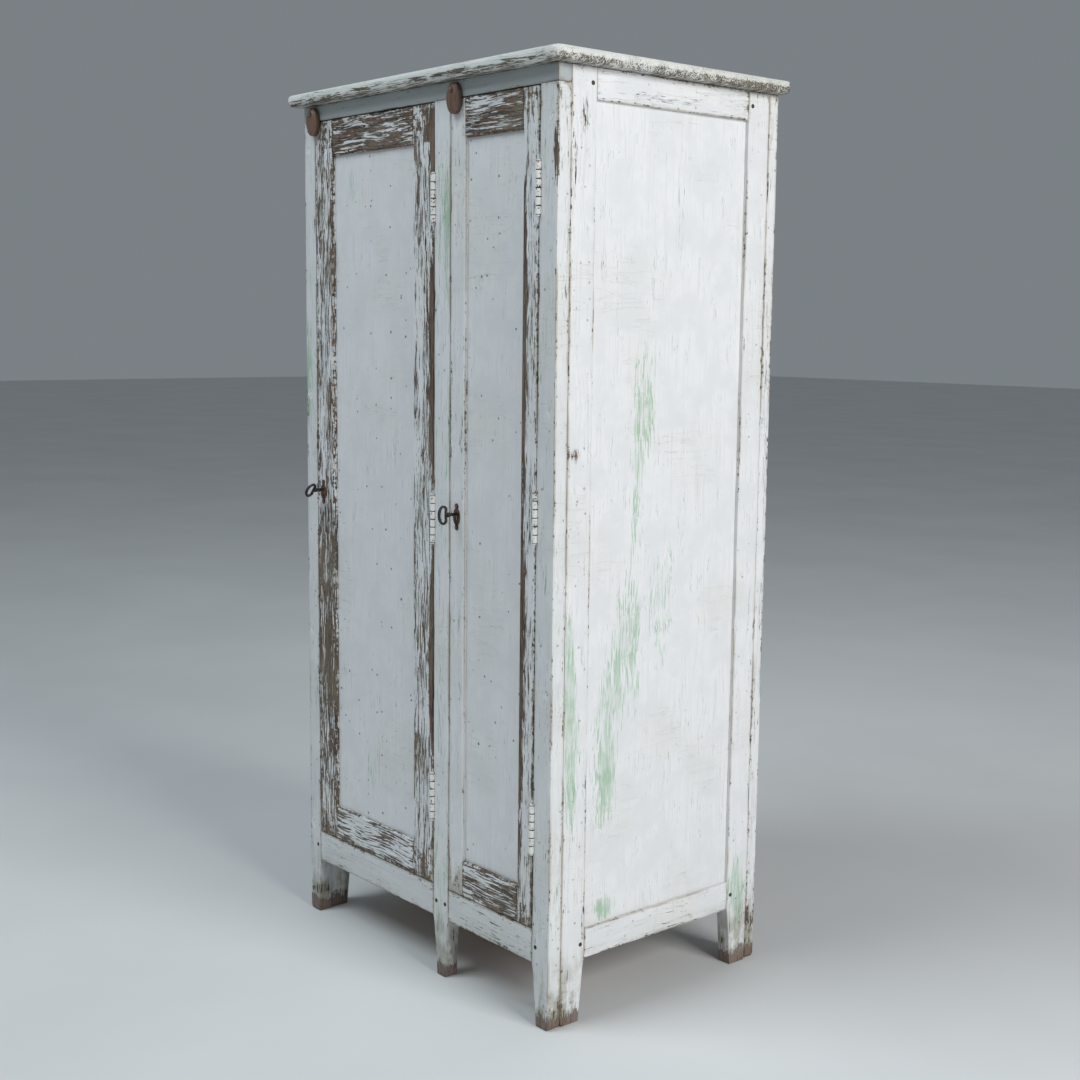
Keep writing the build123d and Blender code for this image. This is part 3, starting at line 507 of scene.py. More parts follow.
def divide(obj, axes, step):
    """In edit mode, divide the long edges that run along these axes into lengths of about one step."""
    def pieces(edge):
        line = edge.verts[1].co - edge.verts[0].co
        direction = line.normalized()
        if max(abs(direction[axis]) for axis in axes) < 0.97:
            return 0
        return round(line.length / step)

    shape = bmesh.from_edit_mesh(obj.data)
    counts = sorted({pieces(edge) for edge in shape.edges if pieces(edge) > 1})
    for count in counts:
        pick(obj, "edges", lambda edge: pieces(edge) == count)
        bpy.ops.mesh.subdivide(number_cuts=count - 1)


def face_outwards():
    """In edit mode, turn all faces outwards."""
    bpy.ops.mesh.select_all(action="SELECT")
    bpy.ops.mesh.normals_make_consistent(inside=False)


def foot_inset(height, taper):
    """How far a side of a foot stands in from its board's edge at a height."""
    shoulder = RAIL_UNDERSIDE - FOOT_SHOULDER_HEIGHT
    if not taper:
        return FOOT_SHOULDER * max(0, 1 - height / FOOT_TOE_HEIGHT)
    if height <= shoulder:
        return taper + (FOOT_SHOULDER - taper) * height / shoulder
    return FOOT_SHOULDER * (1 - ((height - shoulder) / FOOT_SHOULDER_HEIGHT) ** 1.6)


def shape_foot(obj, low, high, axis, tapers):
    """In edit mode, narrow the foot of an upright on its two sides."""
    shoulder = RAIL_UNDERSIDE - FOOT_SHOULDER_HEIGHT
    levels = [FOOT_TOE_HEIGHT] + [shoulder + FOOT_SHOULDER_HEIGHT * part / 3 for part in range(4)]
    for level in levels:
        slice_across(Z, level)
    for level in [0] + levels[:-1]:
        for edge, inward, taper in ((low[axis], 1, tapers[0]), (high[axis], -1, tapers[1])):
            step = [0, 0, 0]
            step[axis] = inward * foot_inset(level, taper)
            if step[axis] and pick(obj, "verts", lambda v: (
                    abs(v.co.z - level) < 1e-4 and abs(v.co[axis] - edge) < 1e-4)):
                bpy.ops.transform.translate(value=step)


def arris_distance(point, low, high):
    """How far a point on a box's surface is from the box's nearest edge."""
    return sorted(min(point[axis] - low[axis], high[axis] - point[axis]) for axis in (X, Y, Z))[1]


def put_attribute(obj, name, values):
    attribute = obj.data.attributes.new(name, "FLOAT", "POINT")
    attribute.data.foreach_set("value", values)


def rub_amount(point, rubs):
    """Sum of soft spots, each a centre, a reach and an amount."""
    total = 0.0
    for centre, reach, amount in rubs:
        away = math.sqrt(sum(((point[a] - centre[a] * MM) / (reach[a] * MM)) ** 2 for a in (X, Y, Z)))
        total += amount * max(0.0, 1 - away) ** 0.6
    return total


def mark_wear(obj, low, high, wear, rub, wear_rubs, green_rubs, soil=0.0):
    """Store where a board is worn, rubbed and near its edges, and how strongly soil and painted shade darken
    it.
    """
    points = [v.co.copy() for v in obj.data.vertices]
    distances = [arris_distance(p, low, high) for p in points]
    put_attribute(obj, "arris", [max(0.0, 1 - d / ARRIS_REACH) for d in distances])
    put_attribute(obj, "wear", [wear + rub_amount(p, wear_rubs) for p in points])
    put_attribute(obj, "rub", [rub + rub_amount(p, green_rubs) for p in points])
    # Painted shade with soil: how far the board's top coat is darkened, the same over the whole board.
    put_attribute(obj, "soil", [soil] * len(points))
    group = obj.vertex_groups.new(name="arris")
    group.add([i for i, d in enumerate(distances) if d < ARRIS_CORE], 1.0, "REPLACE")


def weather(obj, grain, nick_depth):
    """Make the faces slightly uneven and nick the edges, always inwards."""
    alone(obj)
    bpy.ops.object.empty_add(location=(0, 0, 0), scale=(1, 1, 1))
    guide = bpy.context.object
    guide.scale = along(grain, 6.0)
    for label, size, ramp, depth, group in (
            ("uneven", 0.060, None, 0.0006, ""),
            ("nicks", 0.011, (0.60, 0.80), nick_depth, "arris")):
        pattern = bpy.data.textures.new(f"{obj.name}_{label}", "CLOUDS")
        pattern.noise_scale = size
        pattern.noise_depth = 3
        if ramp:
            pattern.use_color_ramp = True
            for stop, place, value in zip(pattern.color_ramp.elements, ramp, (0.0, 1.0)):
                stop.position = place
                stop.color = (value, value, value, 1)
        alone(obj)
        relief = obj.modifiers.new(label, "DISPLACE")
        relief.texture = pattern
        relief.texture_coords = "OBJECT"
        relief.texture_coords_object = guide
        relief.mid_level = 0.0
        relief.strength = -depth
        relief.vertex_group = group
        bpy.ops.object.modifier_apply(modifier=label)
    delete(guide)


def soften(obj, degrees=35):
    alone(obj)
    bpy.ops.object.shade_smooth_by_angle(angle=math.radians(degrees))


def hand_over(obj, body, slot, nodes, kind=None, grain=Z):
    """Finish a piece: its material, chosen by its slot, its body and the nodes that it stands for."""
    obj.data.materials.clear()
    obj.data.materials.append(finish_for(kind or slot, grain))
    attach(obj, body)
    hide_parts(*nodes)


def turned(name, start, rings, rotation=(0, 0, 0), vertices=32, oval=(1, 1)):
    """A turned piece: a disc drawn out from ring to ring, each a distance and a radius."""
    bpy.ops.object.select_all(action="DESELECT")
    bpy.ops.mesh.primitive_circle_add(vertices=vertices, radius=rings[0][1], fill_type="NGON",
                                      location=(0, 0, rings[0][0]))
    obj = bpy.context.object
    obj.name = name
    settle(obj)
    edit(obj)
    bpy.ops.mesh.select_all(action="SELECT")
    for (before, old), (after, new) in zip(rings, rings[1:]):
        bpy.ops.mesh.extrude_region_move(TRANSFORM_OT_translate={"value": (0, 0, after - before)})
        bpy.ops.transform.resize(value=(new / old, new / old, 1), center_override=(0, 0, after))
    face_outwards()
    leave()
    obj.scale = (*oval, 1)
    settle(obj)
    obj.rotation_euler = rotation
    obj.location = start
    return settle(obj)


def joined(name, pieces):
    """One object made of several."""
    alone(pieces[0])
    for piece in pieces[1:]:
        piece.select_set(True)
    bpy.ops.object.join()
    pieces[0].name = name
    return pieces[0]


def spans(node, axis, gap, near=None):
    """The separate stretches that a node's vertices take up along an axis.

    near limits them to those around a place: its axis, where it is and how far they may be from it.
    """
    places = sorted(v.co[axis] for v in frame["nodes"][node].data.vertices
                    if near is None or abs(v.co[near[0]] - near[1]) < near[2])
    found = [[places[0], places[0]]]
    for place in places[1:]:
        if place - found[-1][1] > gap:
            found.append([place, place])
        found[-1][1] = place
    return found


def joint_place(name):
    """The point that a hinge joint turns about."""
    return Vector(next(joint["pos_m"] for joint in frame["joints"] if joint["name"] == name))


def carve(obj, cutters):
    """Cut the shapes of the cutters out of a piece, and remove them."""
    cutter = joined("cutter", cutters)
    alone(obj)
    hollow = obj.modifiers.new("hollow", "BOOLEAN")
    hollow.operation = "DIFFERENCE"
    hollow.solver = "EXACT"
    hollow.use_self = True
    hollow.object = cutter
    bpy.ops.object.modifier_apply(modifier="hollow")
    delete(cutter)
    soften(obj)


def duplicate(obj, step):
    """A copy of a piece with its own mesh, moved by one step."""
    alone(obj)
    bpy.ops.object.duplicate(linked=False)
    copy = bpy.context.object
    copy.location = step
    return settle(copy)


def frame_screw_x():
    """How far the frame screws stand from the cabinet's middle."""
    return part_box("frame_screws")[1].x - SCREW_HEAD_RADIUS


def screw_dishes(x, y, inward):
    """Cutters for the dished holes of the frame screws on one face."""
    heights = [(low + high) / 2 for low, high in spans("frame_screws", Z, ROW_GAP)]
    rings = ((-MM, DISH_RADIUS * 1.5), (0, DISH_RADIUS),
             (DISH_DEPTH, SCREW_HEAD_RADIUS), (4 * DISH_DEPTH, SCREW_HEAD_RADIUS))
    first = turned("dish", (x, y, heights[0]), rings, (math.radians(-90 * inward), 0, 0), 24)
    return [first] + [duplicate(first, (0, 0, height - heights[0])) for height in heights[1:]]


def bolt_mortise(hand):
    """Cutter for the slot that a door's bolt enters when its key is turned."""
    low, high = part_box(f"{hand}_lock_bolt")
    room = Vector((0, MM, MM))
    start = Vector((low.x - MORTISE_REACH, low.y, low.z)) - room
    return [raw_board("mortise", start, Vector((low.x - MM, high.y, high.z)) + room)]


def hinge_middles(hand):
    """Heights of the middles of a door's three hinges."""
    axis = joint_place(f"{hand}_door_hinge")
    return [(low + high) / 2 for low, high in spans("hinge_pins", Z, ROW_GAP, (X, axis.x, PIN_ROOM))]


def hinge_recesses(hand, side):
    """Cutters for the three hinges of a door: side is 1 on the fixed wood and -1 on the door."""
    axis = joint_place(f"{hand}_door_hinge")
    low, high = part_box("frame_hinge_leaves")
    face = axis.x + side * DOOR_GAP / 2
    length = KNUCKLES * KNUCKLE
    cutters = []
    for middle in hinge_middles(hand):
        corners = ((face - side * DOOR_GAP / 4, low.y + BARREL_RADIUS, middle - length / 2 - MM),
                   (face + side * LEAF_THICKNESS, high.y, middle + length / 2 + MM))
        cutters.append(board_between("cutter_leaf", corners))
        radius = BARREL_RADIUS + HINGE_CLEARANCE
        start = (axis.x, axis.y, middle - length / 2 - HINGE_END_CLEARANCE)
        rings = ((0, radius), (length + 2 * HINGE_END_CLEARANCE, radius))
        cutters.append(turned("cutter_barrel", start, rings))
    return cutters


def raw_board(name, low, high):
    """A plain board from its low to its high corner."""
    bpy.ops.object.select_all(action="DESELECT")
    size = high - low
    bpy.ops.mesh.primitive_cube_add(size=1, location=(low + high) / 2, scale=size)
    obj = bpy.context.object
    obj.name = name
    return settle(obj)


def board_between(name, corners):
    """A plain board between two opposite corners, in either order."""
    return raw_board(name, Vector(map(min, *corners)), Vector(map(max, *corners)))


def board(name, low, high, kind="chipped_paint", wear=0.1, rub=0.0, foot=None, step=6 * MM,
          round_over=1.4 * MM, nick_depth=1.6 * MM, wear_rubs=(), green_rubs=(), chamfer=None, carved=None,
          soil=0.0):
    """A worn board between two corners, with its grain along its length."""
    size = high - low
    grain = max((X, Y, Z), key=lambda axis: size[axis])
    obj = raw_board(name, low, high)
    edit(obj)
    if foot:
        shape_foot(obj, low, high, *foot)
    if chamfer:
        axis, place, ends = chamfer
        for end in ends:
            slice_across(grain, end)
        pick(obj, "edges", lambda e: all(
            abs(v.co[axis] - place) < TOUCHING and abs(v.co.y - low.y) < TOUCHING
            and ends[0] - TOUCHING < v.co[grain] < ends[1] + TOUCHING for v in e.verts))
        bpy.ops.mesh.bevel(offset=PANEL_CHAMFER, segments=1, affect="EDGES")
    bpy.ops.mesh.select_mode(type="EDGE")
    bpy.ops.mesh.select_all(action="DESELECT")
    bpy.ops.mesh.edges_select_sharp(sharpness=math.radians(50))
    bpy.ops.mesh.bevel(offset=min(round_over, min(size) * 0.2), segments=2, affect="EDGES")
    divide(obj, [grain], step)
    divide(obj, [axis for axis in (X, Y, Z) if axis != grain], step * 1.3)
    face_outwards()
    leave()
    mark_wear(obj, low, high, wear, rub, wear_rubs, green_rubs, soil)
    weather(obj, grain, nick_depth)
    soften(obj)
    if carved:
        carve(obj, carved())
    return obj, grain


def shown_box(node, tenon_axis=None, low_tenon=0.0, high_tenon=0.0):
    """A node's box without the tenons hidden in its neighbours."""
    low, high = (corner.copy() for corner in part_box(node))
    if tenon_axis is not None:
        low[tenon_axis] += low_tenon
        high[tenon_axis] -= high_tenon
    return low, high


def fit_board(node, body="root", slot="chipped_paint", tenons=(None, 0.0, 0.0), **look):
    """Replace one CAD board by a worn one of the same size."""
    low, high = shown_box(node, *tenons)
    obj, grain = board(f"{node}_worn", low, high, kind=slot, **look)
    hand_over(obj, body, slot, [node], grain=grain)


def soft_edges(obj, width):
    """Take the sharpness off a piece's edges."""
    bevel = obj.modifiers.new("soft edges", "BEVEL")
    bevel.width = width
    bevel.segments = 2
    bevel.limit_method = "ANGLE"
    bevel.angle_limit = math.radians(40)


def keep(node, slot, kind=None, grain=Z, edge=0.25 * MM):
    """Keep a CAD node whose shape is right: better material and soft edges."""
    obj = frame["nodes"][node]
    obj.data.materials.clear()
    obj.data.materials.append(finish_for(kind or slot, grain))
    weld = obj.modifiers.new("join", "WELD")
    weld.merge_threshold = TOUCHING
    soft_edges(obj, edge)


BOTH_ENDS = {X: (X, TENON, TENON), Y: (Y, TENON, TENON)}
TOP_END = (Z, 0.0, TENON)


# ---------------------------------------------------------------- operators
class CABINET_OT_top_board(bpy.types.Operator):
    """Model the weathered top board"""
    bl_idname = "cabinet.top_board"
    bl_label = "Top Board"

    def execute(self, context):
        low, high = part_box("top_board")
        obj = raw_board("top_board_worn", low, high)
        edit(obj)
        pick(obj, "edges", lambda e: abs(e.verts[0].co.x - e.verts[1].co.x) < TOUCHING
             and abs(e.verts[0].co.y - e.verts[1].co.y) < TOUCHING and e.verts[0].co.y < 0)
        bpy.ops.mesh.bevel(offset=TOP_CORNER_ROUND, segments=6, affect="EDGES")
        pick(obj, "edges", lambda e: abs(e.verts[0].co.z - e.verts[1].co.z) < TOUCHING
             and (e.verts[0].co.y + e.verts[1].co.y) / 2 < high.y - MM
             and any(abs(f.normal.z) < 0.5 for f in e.link_faces))
        bpy.ops.mesh.bevel(offset=TOP_EDGE_ROUND, segments=5, affect="EDGES")
        for axis in (X, Y):
            for number in range(1, round((high[axis] - low[axis]) / TOP_STEP)):
                slice_across(axis, low[axis] + number * TOP_STEP)
        face_outwards()
        leave()
        middle = (low.z + high.z) / 2
        mark_wear(obj, low, high, 0.0, 0.45, [], [])
        levels = [v.co.z for v in obj.data.vertices]
        edge_wear = obj.data.attributes["wear"]
        edge_wear.data.foreach_set("value", [0.20 if z > middle else 0.50 for z in levels])
        weather(obj, X, 2.4 * MM)
        soften(obj)
        hand_over(obj, "root", "weathered_top", ["top_board"], grain=X)
        return {"FINISHED"}


class CABINET_OT_front_frame(bpy.types.Operator):
    """Model the posts, stile and rails round the doors"""
    bl_idname = "cabinet.front_frame"
    bl_label = "Front Frame"

    def execute(self, context):
        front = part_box("front_top_rail")[0].y
        screw_x = frame_screw_x()
        # Painted shade: this rail's top coat is darkened to blue-grey to stand for the shadow under the top
        # board's overhang.
        fit_board("front_top_rail", wear=0.10, soil=0.62)
        fit_board("left_front_post", tenons=TOP_END, wear=0.18, rub=0.3, soil=0.10,
                  foot=(X, (0, LEFT_FOOT_TAPER)),
                  carved=lambda: screw_dishes(-screw_x, front, 1) + bolt_mortise("left"),
                  green_rubs=[((-390, -253, 1158), (26, 20, 130), 0.8)])
        fit_board("centre_stile", tenons=TOP_END, wear=0.10, rub=0.45,
                  foot=(X, (FOOT_TAPER, CENTRE_FOOT_TAPER)),
                  carved=lambda: hinge_recesses("left", 1) + bolt_mortise("right"),
                  green_rubs=[((88, -253, 1440), (14, 12, 120), 0.75)])
        fit_board("right_front_post", tenons=TOP_END, wear=0.15, rub=0.35, soil=0.05,
                  foot=(X, (FOOT_TAPER, 0)),
                  carved=lambda: screw_dishes(screw_x, front, 1) + hinge_recesses("right", 1),
                  wear_rubs=[((391, -253, 1552), (6, 8, 85), 0.85)])
        for hand in HANDS:
            fit_board(f"{hand}_bottom_rail", tenons=BOTH_ENDS[X], wear=0.17, soil=0.12)
        return {"FINISHED"}


# Green rubs on a side panel: depth and height in mm, their reach in both, and how strong they are.
SIDE_PANEL_RUBS = (
    (-30, 1120, 34, 150, 0.72), (-50, 960, 26, 130, 0.60), (18, 760, 40, 160, 0.55),
    (-60, 690, 44, 190, 0.72), (-110, 560, 36, 190, 0.76), (-118, 420, 40, 110, 0.66),
    (-114, 200, 36, 26, 1.1), (48, 1448, 26, 80, 0.34),
)


class CABINET_OT_side_frames(bpy.types.Operator):
    """Model the stiles, rails and panels of both sides"""
    bl_idname = "cabinet.side_frames"
    bl_label = "Side Frames"

    def execute(self, context):
        for hand, side in (("left", -1), ("right", 1)):
            face = side * 396
            fit_board(f"{hand}_side_front_stile", wear=0.13, rub=0.15, foot=(Y, (0, FOOT_TAPER)),
                      wear_rubs=[
                          ((face, -193, 1615), (12, 12, 40), 0.50), ((face, -205, 1042), (12, 25, 5), 0.45),
                          ((face, -172, 1500), (12, 4, 150), 0.5), ((face, -215, 1560), (12, 4, 120), 0.4)],
                      green_rubs=[
                          ((face, -216, 664), (14, 22, 120), 1.0), ((face, -206, 515), (14, 24, 170), 1.0)])
            fit_board(f"{hand}_side_rear_stile", wear=0.13, rub=0.15, foot=(Y, (FOOT_TAPER, 0)),
                      green_rubs=[((face, 240, 146), (14, 30, 95), 1.2)])
            fit_board(f"{hand}_side_top_rail", tenons=BOTH_ENDS[Y], wear=0.20)
            fit_board(f"{hand}_side_bottom_rail", tenons=BOTH_ENDS[Y], wear=0.16)
            inner = side * 388
            fit_board(f"{hand}_side_panel", slot="panel_paint", wear=0.02, rub=0.16, step=PANEL_STEP,
                      green_rubs=[((inner, depth, height), (30, wide, tall), amount)
                                  for depth, height, wide, tall, amount in SIDE_PANEL_RUBS],
                      wear_rubs=[((inner, -143, 1375), (20, 18, 5), 0.45)])
        return {"FINISHED"}


class CABINET_OT_back_frame(bpy.types.Operator):
    """Model the stiles, rails and boards of the back"""
    bl_idname = "cabinet.back_frame"
    bl_label = "Back Frame"

    def execute(self, context):
        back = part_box("back_top_rail")[1].y
        screw_x = frame_screw_x()
        fit_board("left_back_stile", wear=0.22, rub=0.2, foot=(X, (0, FOOT_TAPER)),
                  carved=lambda: screw_dishes(-screw_x, back, -1))
        fit_board("right_back_stile", wear=0.22, rub=0.2, foot=(X, (FOOT_TAPER, 0)),
                  carved=lambda: screw_dishes(screw_x, back, -1))
        for node in ("back_top_rail", "back_bottom_rail"):
            fit_board(node, tenons=BOTH_ENDS[X], wear=0.2)
        low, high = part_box("back_boards")
        pitch = (high.x - low.x) / BACK_BOARDS
        made = []
        for number in range(BACK_BOARDS):
            left = low.x + number * pitch
            right = min(left + pitch + BOARD_LAP, high.x)
            made.append(board(f"back_board_{number + 1}", Vector((left, low.y, low.z)),
                              Vector((right, high.y, high.z)), step=INSIDE_STEP, wear=0.0)[0])
        hand_over(joined("back_boards_worn", made), "root", "bare_pine", ["back_boards"], grain=Z)
        return {"FINISHED"}


class CABINET_OT_inside(bpy.types.Operator):
    """Model the floor, partition and shelves"""
    bl_idname = "cabinet.inside"
    bl_label = "Inside"

    def execute(self, context):
        shelves = [f"{hand}_shelf_{number}" for hand, count in (("left", 2), ("right", 3))
                   for number in range(1, count + 1)]
        for node in ("floor_board", "partition", *shelves):
            fit_board(node, slot="bare_pine", wear=0.0, step=INSIDE_STEP)
        keep("support_battens", "bare_pine", grain=Y, edge=0.8 * MM)
        return {"FINISHED"}


DOOR_LOOKS = {
    "left": {"lock_stile": 0.46, "hinge_stile": 0.42, "top_rail": 0.57, "bottom_rail": 0.45},
    "right": {"lock_stile": 0.16, "hinge_stile": 0.36, "top_rail": 0.54, "bottom_rail": 0.50},
}
DOOR_WEAR = {
    ("left", "lock_stile"): [((-323, -251, 600), (40, 20, 420), 0.16)],
    ("left", "hinge_stile"): [
        ((45, -253, 1598), (9, 16, 70), 0.8), ((45, -253, 1200), (9, 16, 260), 0.8),
        ((45, -253, 628), (9, 16, 235), 0.8)],
    ("right", "hinge_stile"): [
        ((310, -253, 1250), (11, 16, 310), 0.65), ((310, -253, 640), (12, 16, 380), 0.65)],
}
DOOR_RUB = {("right", "hinge_stile"): 0.45, ("right", "lock_stile"): 0.25, ("right", "bottom_rail"): 0.3}


class CABINET_OT_doors(bpy.types.Operator):
    """Model the stiles, rails and panels of both doors"""
    bl_idname = "cabinet.doors"
    bl_label = "Doors"

    def execute(self, context):
        for hand in HANDS:
            boxes = {part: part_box(f"{hand}_door_{part}") for part in DOOR_LOOKS[hand]}
            across = (boxes["lock_stile"][1].x, boxes["hinge_stile"][0].x)
            upright = (boxes["bottom_rail"][1].z, boxes["top_rail"][0].z)
            chamfers = {"lock_stile": (X, across[0], upright), "hinge_stile": (X, across[1], upright),
                        "bottom_rail": (Z, upright[0], across), "top_rail": (Z, upright[1], across)}
            for part, wear in DOOR_LOOKS[hand].items():
                tenons = BOTH_ENDS[X] if part.endswith("rail") else (None, 0.0, 0.0)
                carved = (lambda: hinge_recesses(hand, -1)) if part == "hinge_stile" else None
                fit_board(f"{hand}_door_{part}", f"{hand}_door", tenons=tenons, wear=wear, step=DOOR_STEP,
                          chamfer=chamfers[part], carved=carved,
                          rub=DOOR_RUB.get((hand, part), 0.1), wear_rubs=DOOR_WEAR.get((hand, part), ()))
            fit_board(f"{hand}_door_panel", f"{hand}_door", slot="panel_paint", wear=0.02, rub=0.08,
                      step=PANEL_STEP, green_rubs=[
                          ((-233, -246, 1535), (20, 20, 42), 1.1), ((-165, -246, 360), (60, 20, 80), 0.55)])
        return {"FINISHED"}


class CABINET_OT_hardware(bpy.types.Operator):
    """Finish the hinge pins, locks, screws and pegs"""
    bl_idname = "cabinet.hardware"
    bl_label = "Hardware"

    def execute(self, context):
        keep("hinge_pins", "painted_hinge")
        keep("frame_screws", "screw_steel", "painted_hinge")
        keep("joint_pegs", "peg_wood")
        keep("frame_wood_screws", "screw_steel")
        for hand in HANDS:
            keep(f"{hand}_door_screws", "screw_steel")
            keep(f"{hand}_lock_case", "lock_steel")
            keep(f"{hand}_lock_bolt", "lock_steel")
            keep(f"{hand}_escutcheon", "rusty_iron")
        return {"FINISHED"}


class CABINET_OT_hinges(bpy.types.Operator):
    """Model the leaves and knuckles of the six hinges"""
    bl_idname = "cabinet.hinges"
    bl_label = "Hinges"

    def half_hinge(self, side):
        """One leaf and its three knuckles round a pin at the origin: side is 1 for a fixed leaf."""
        low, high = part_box("frame_hinge_leaves")
        axis_y = low.y + BARREL_RADIUS
        half = KNUCKLES * KNUCKLE / 2
        face = side * DOOR_GAP / 2
        outer = face + side * LEAF_THICKNESS
        leaf = board_between("leaf", (
            (face, high.y - LEAF_DEPTH - axis_y, -half), (outer, high.y - axis_y, half)))
        edit(leaf)
        bpy.ops.mesh.select_all(action="SELECT")
        bpy.ops.mesh.bevel(offset=LEAF_EDGE, segments=2, affect="EDGES")
        leave()
        carve(leaf, [
            turned("hole", (face - side * MM, high.y - LEAF_DEPTH / 2 - axis_y, step * LEAF_SCREW_SPREAD),
                   ((0, SCREW_HEAD_RADIUS), (4 * MM, SCREW_HEAD_RADIUS)), (0, math.radians(90 * side), 0))
            for step in (-1, 0, 1)])
        pieces = [leaf]
        ends = ((0.15, 4.1), (0.5, 4.6), (1.1, 4.95), (1.7, 5.0))
        rings = [(z * MM, radius * MM) for z, radius in ends]
        rings += [(KNUCKLE - z, radius) for z, radius in reversed(rings)]
        for number in range(1 if side > 0 else 0, KNUCKLES, 2):
            bottom = number * KNUCKLE - half
            pieces.append(turned("knuckle", (0, 0, bottom), rings))
            pieces.append(board_between("neck", (
                (face, NECK_START, bottom + NECK_GAP),
                (outer, high.y - LEAF_DEPTH - axis_y + MM, bottom + KNUCKLE - NECK_GAP))))
        return joined("half_hinge", pieces)

    def execute(self, context):
        halves = {1: self.half_hinge(1), -1: self.half_hinge(-1)}
        places = {}
        for hand in HANDS:
            axis = joint_place(f"{hand}_door_hinge")
            places[hand] = [Vector((axis.x, axis.y, middle)) for middle in hinge_middles(hand)]
        groups = [("frame_hinge_leaves", "root", 1, places["left"] + places["right"])]
        groups += [(f"{hand}_door_hinge_leaves", f"{hand}_door", -1, places[hand]) for hand in HANDS]
        for node, body, side, spots in groups:
            obj = joined(f"{node}_worn", [duplicate(halves[side], spot) for spot in spots])
            ends = []
            for vertex in obj.data.vertices:
                spot = min(spots, key=lambda place: (place - vertex.co).length)
                out = math.hypot(vertex.co.x - spot.x, vertex.co.y - spot.y)
                inset = (BARREL_RADIUS - out) / KNUCKLE_EDGE
                ends.append(max(0.0, min(1.0, inset)) if out < KNUCKLE_REACH else 0.0)
            put_attribute(obj, "arris", ends)
            soften(obj, 50)
            hand_over(obj, body, "painted_hinge", [node])
        for half in halves.values():
            delete(half)
        return {"FINISHED"}


class CABINET_OT_keys(bpy.types.Operator):
    """Shape the kidney bows of the two keys"""
    bl_idname = "cabinet.keys"
    bl_label = "Keys"

    def execute(self, context):
        for hand in HANDS:
            node = frame["nodes"][f"{hand}_key"]
            axis = joint_place(f"{hand}_key_turn")
            alone(node)
            bpy.ops.object.duplicate(linked=False)
            obj = context.object
            obj.name = f"{hand}_key_worn"
            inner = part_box(f"{hand}_key")[0].y + BOW_LENGTH
            edit(obj)
            bpy.ops.mesh.select_all(action="SELECT")
            bpy.ops.mesh.remove_doubles(threshold=TOUCHING)
            bpy.ops.mesh.dissolve_limited(angle_limit=math.radians(1))
            pick(obj, "verts", lambda v: v.co.y > inner + 0.2 * MM)
            bpy.ops.mesh.hide(unselected=False)
            pick(obj, "verts", lambda v: not v.hide and v.co.y > inner - BOW_BAR - MM
                 and math.hypot(v.co.x - axis.x, v.co.z - axis.z) < BOW_MIDDLE)
            bpy.ops.transform.translate(value=(0, -BOW_DENT, 0), use_proportional_edit=True,
                                        proportional_edit_falloff="SMOOTH", proportional_size=BOW_DENT_REACH)
            bpy.ops.mesh.reveal(select=False)
            leave()
            soft_edges(obj, KEY_EDGE)
            alone(obj)
            bpy.ops.object.modifier_apply(modifier="soft edges")
            soften(obj)
            hand_over(obj, f"{hand}_key", "rusty_iron", [f"{hand}_key"], "key_iron")
        return {"FINISHED"}


# A button's outline as shares of its thickness and half width, and where its rim and its face begin.
BUTTON_RINGS = ((0, 0.96), (0.05, 1.0), (0.66, 1.0), (0.71, 0.985), (0.74, 0.965),
                (0.95, 0.755), (0.985, 0.735), (0.995, 0.70), (1.0, 0.62), (1.0, 0.30))
BUTTON_RIM = 0.71
BUTTON_FACE = 0.03


class CABINET_OT_turn_buttons(bpy.types.Operator):
    """Model the two oval turn buttons"""
    bl_idname = "cabinet.turn_buttons"
    bl_label = "Turn Buttons"

    def execute(self, context):
        for hand in HANDS:
            low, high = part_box(f"{hand}_turn_button")
            size = high - low
            middle = (low + high) / 2
            obj = turned(f"{hand}_turn_button_worn", (middle.x, high.y, middle.z),
                         [(part * size.y, radius) for part, radius in BUTTON_RINGS],
                         (math.radians(90), 0, 0), 64, (size.x / 2, size.z / 2))
            rim = high.y - BUTTON_RIM * size.y
            face = low.y + BUTTON_FACE * size.y
            away = [min(abs(v.co.y - rim), abs(v.co.y - face) + 0.3 * MM) for v in obj.data.vertices]
            put_attribute(obj, "arris", [max(0.0, 1 - distance / (1.5 * MM)) for distance in away])
            soften(obj)
            hand_over(obj, f"{hand}_button", "oiled_wood", [f"{hand}_turn_button"])
        return {"FINISHED"}


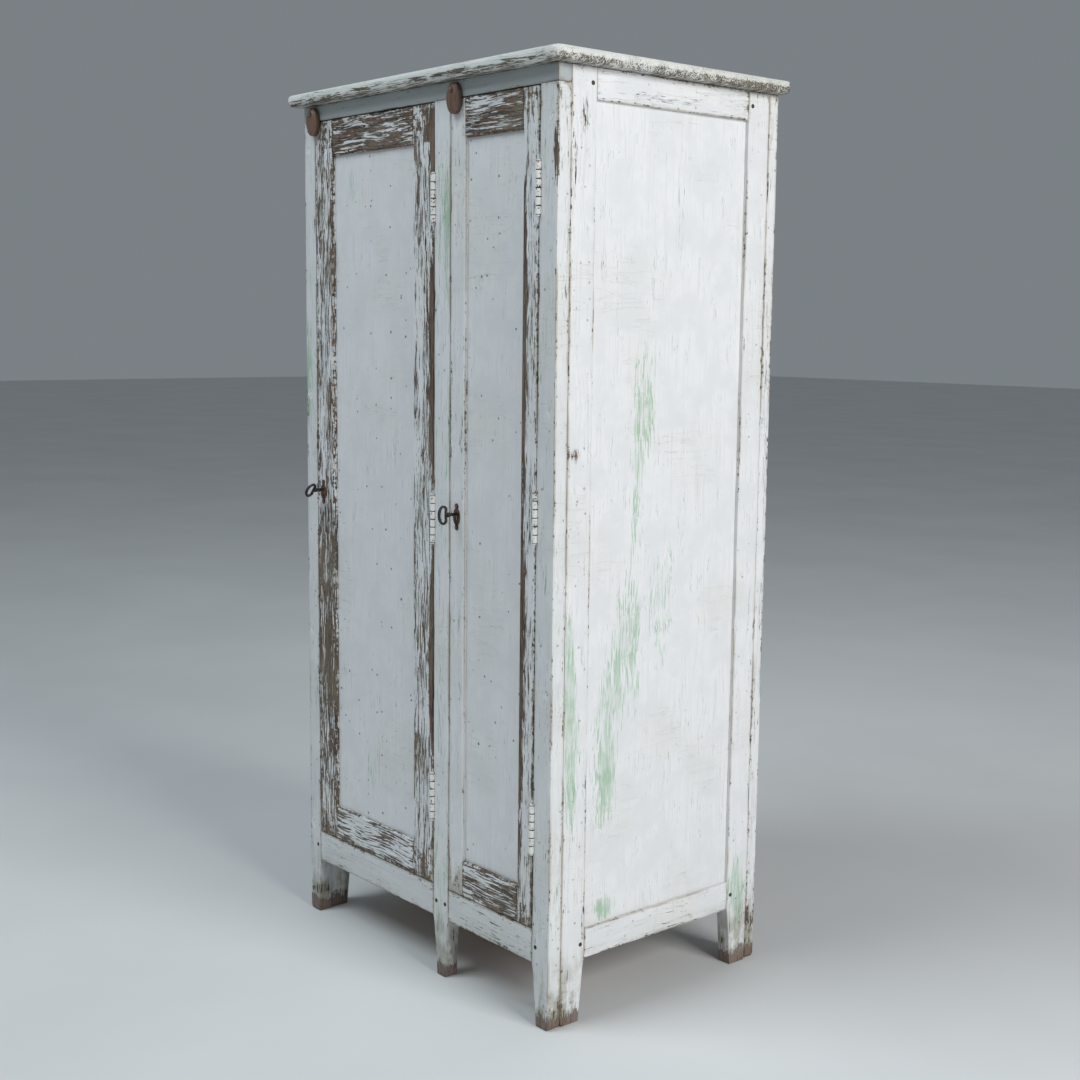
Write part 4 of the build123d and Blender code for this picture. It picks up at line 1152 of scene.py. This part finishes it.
class CABINET_OT_stage(bpy.types.Operator):
    """Set out the floor, the lights and the camera"""
    bl_idname = "cabinet.stage"
    bl_label = "Stage"

    def execute(self, context):
        scene = context.scene
        stage = scene.cabinet_stage
        scene.view_settings.view_transform = "Standard"

        bpy.ops.object.select_all(action="DESELECT")
        bpy.ops.mesh.primitive_plane_add(size=60, location=(0, 0, 0))
        floor = context.object
        floor.name = "studio_floor"
        finish = Finish("studio_floor")
        shade = finish.noise(finish.place, 1.2, 3.0)
        floor.data.materials.append(finish.finish(
            finish.mix(shade.rise(0.3, 0.7), (0.66, 0.67, 0.67), (0.70, 0.71, 0.71)), 0.9))

        world = bpy.data.worlds.new("studio")
        world.use_nodes = True
        surround = world.node_tree.nodes["Background"]
        surround.inputs["Color"].default_value = (0.82, 0.91, 0.98, 1)
        surround.inputs["Strength"].default_value = stage.sky
        scene.world = world

        target = Vector((0, 0, 0.85))
        for name, place, size, power, tint in (
                ("key", Vector((6.0, 0.1, 3.4)), 3.0, stage.key_power, (1.0, 0.995, 0.99)),
                ("fill", Vector((-1.0, -3.0, 5.4)), 2.6, stage.fill_power, (0.85, 0.945, 1.0))):
            lamp = bpy.data.lights.new(name, "AREA")
            lamp.shape = "SQUARE"
            lamp.size = size
            lamp.energy = power
            lamp.color = tint
            holder = bpy.data.objects.new(name, lamp)
            holder.location = place
            holder.rotation_euler = (target - place).to_track_quat("-Z", "Y").to_euler()
            scene.collection.objects.link(holder)

        lens = bpy.data.cameras.new("camera")
        lens.lens = stage.lens
        lens.sensor_width = 36
        camera = bpy.data.objects.new("camera", lens)
        scene.collection.objects.link(camera)
        camera.location = stage.place
        forward = Vector((-math.sin(stage.azimuth) * math.cos(stage.tilt),
                          math.cos(stage.azimuth) * math.cos(stage.tilt), -math.sin(stage.tilt)))
        camera.rotation_mode = "QUATERNION"
        camera.rotation_quaternion = forward.to_track_quat("-Z", "Y") @ Quaternion((0, 0, 1), stage.roll)
        scene.camera = camera
        return {"FINISHED"}


class CABINET_PT_sidebar(bpy.types.Panel):
    """Steps that build the cabinet"""
    bl_label = "Pantry Cabinet"
    bl_idname = "CABINET_PT_sidebar"
    bl_space_type = "VIEW_3D"
    bl_region_type = "UI"
    bl_category = "Cabinet"

    def draw(self, context):
        for step in STEPS:
            self.layout.operator(step.bl_idname)
        for group in (context.scene.cabinet_paint, context.scene.cabinet_stage):
            for name in group.__annotations__:
                self.layout.prop(group, name)


STEPS = (
    CABINET_OT_top_board, CABINET_OT_front_frame, CABINET_OT_side_frames, CABINET_OT_back_frame,
    CABINET_OT_inside, CABINET_OT_doors, CABINET_OT_hardware, CABINET_OT_hinges, CABINET_OT_keys,
    CABINET_OT_turn_buttons, CABINET_OT_stage,
)
CLASSES = (CabinetPaint, CabinetStage, *STEPS, CABINET_PT_sidebar)


def register():
    for cls in CLASSES:
        bpy.utils.register_class(cls)
    bpy.types.Scene.cabinet_paint = bpy.props.PointerProperty(type=CabinetPaint)
    bpy.types.Scene.cabinet_stage = bpy.props.PointerProperty(type=CabinetStage)


def unregister():
    del bpy.types.Scene.cabinet_stage
    del bpy.types.Scene.cabinet_paint
    for cls in reversed(CLASSES):
        bpy.utils.unregister_class(cls)


def main():
    register()
    bpy.ops.cabinet.top_board()
    bpy.ops.cabinet.front_frame()
    bpy.ops.cabinet.side_frames()
    bpy.ops.cabinet.back_frame()
    bpy.ops.cabinet.inside()
    bpy.ops.cabinet.doors()
    bpy.ops.cabinet.hardware()
    bpy.ops.cabinet.hinges()
    bpy.ops.cabinet.keys()
    bpy.ops.cabinet.turn_buttons()
    bpy.ops.cabinet.stage()


if __name__ == "__main__":
    main()
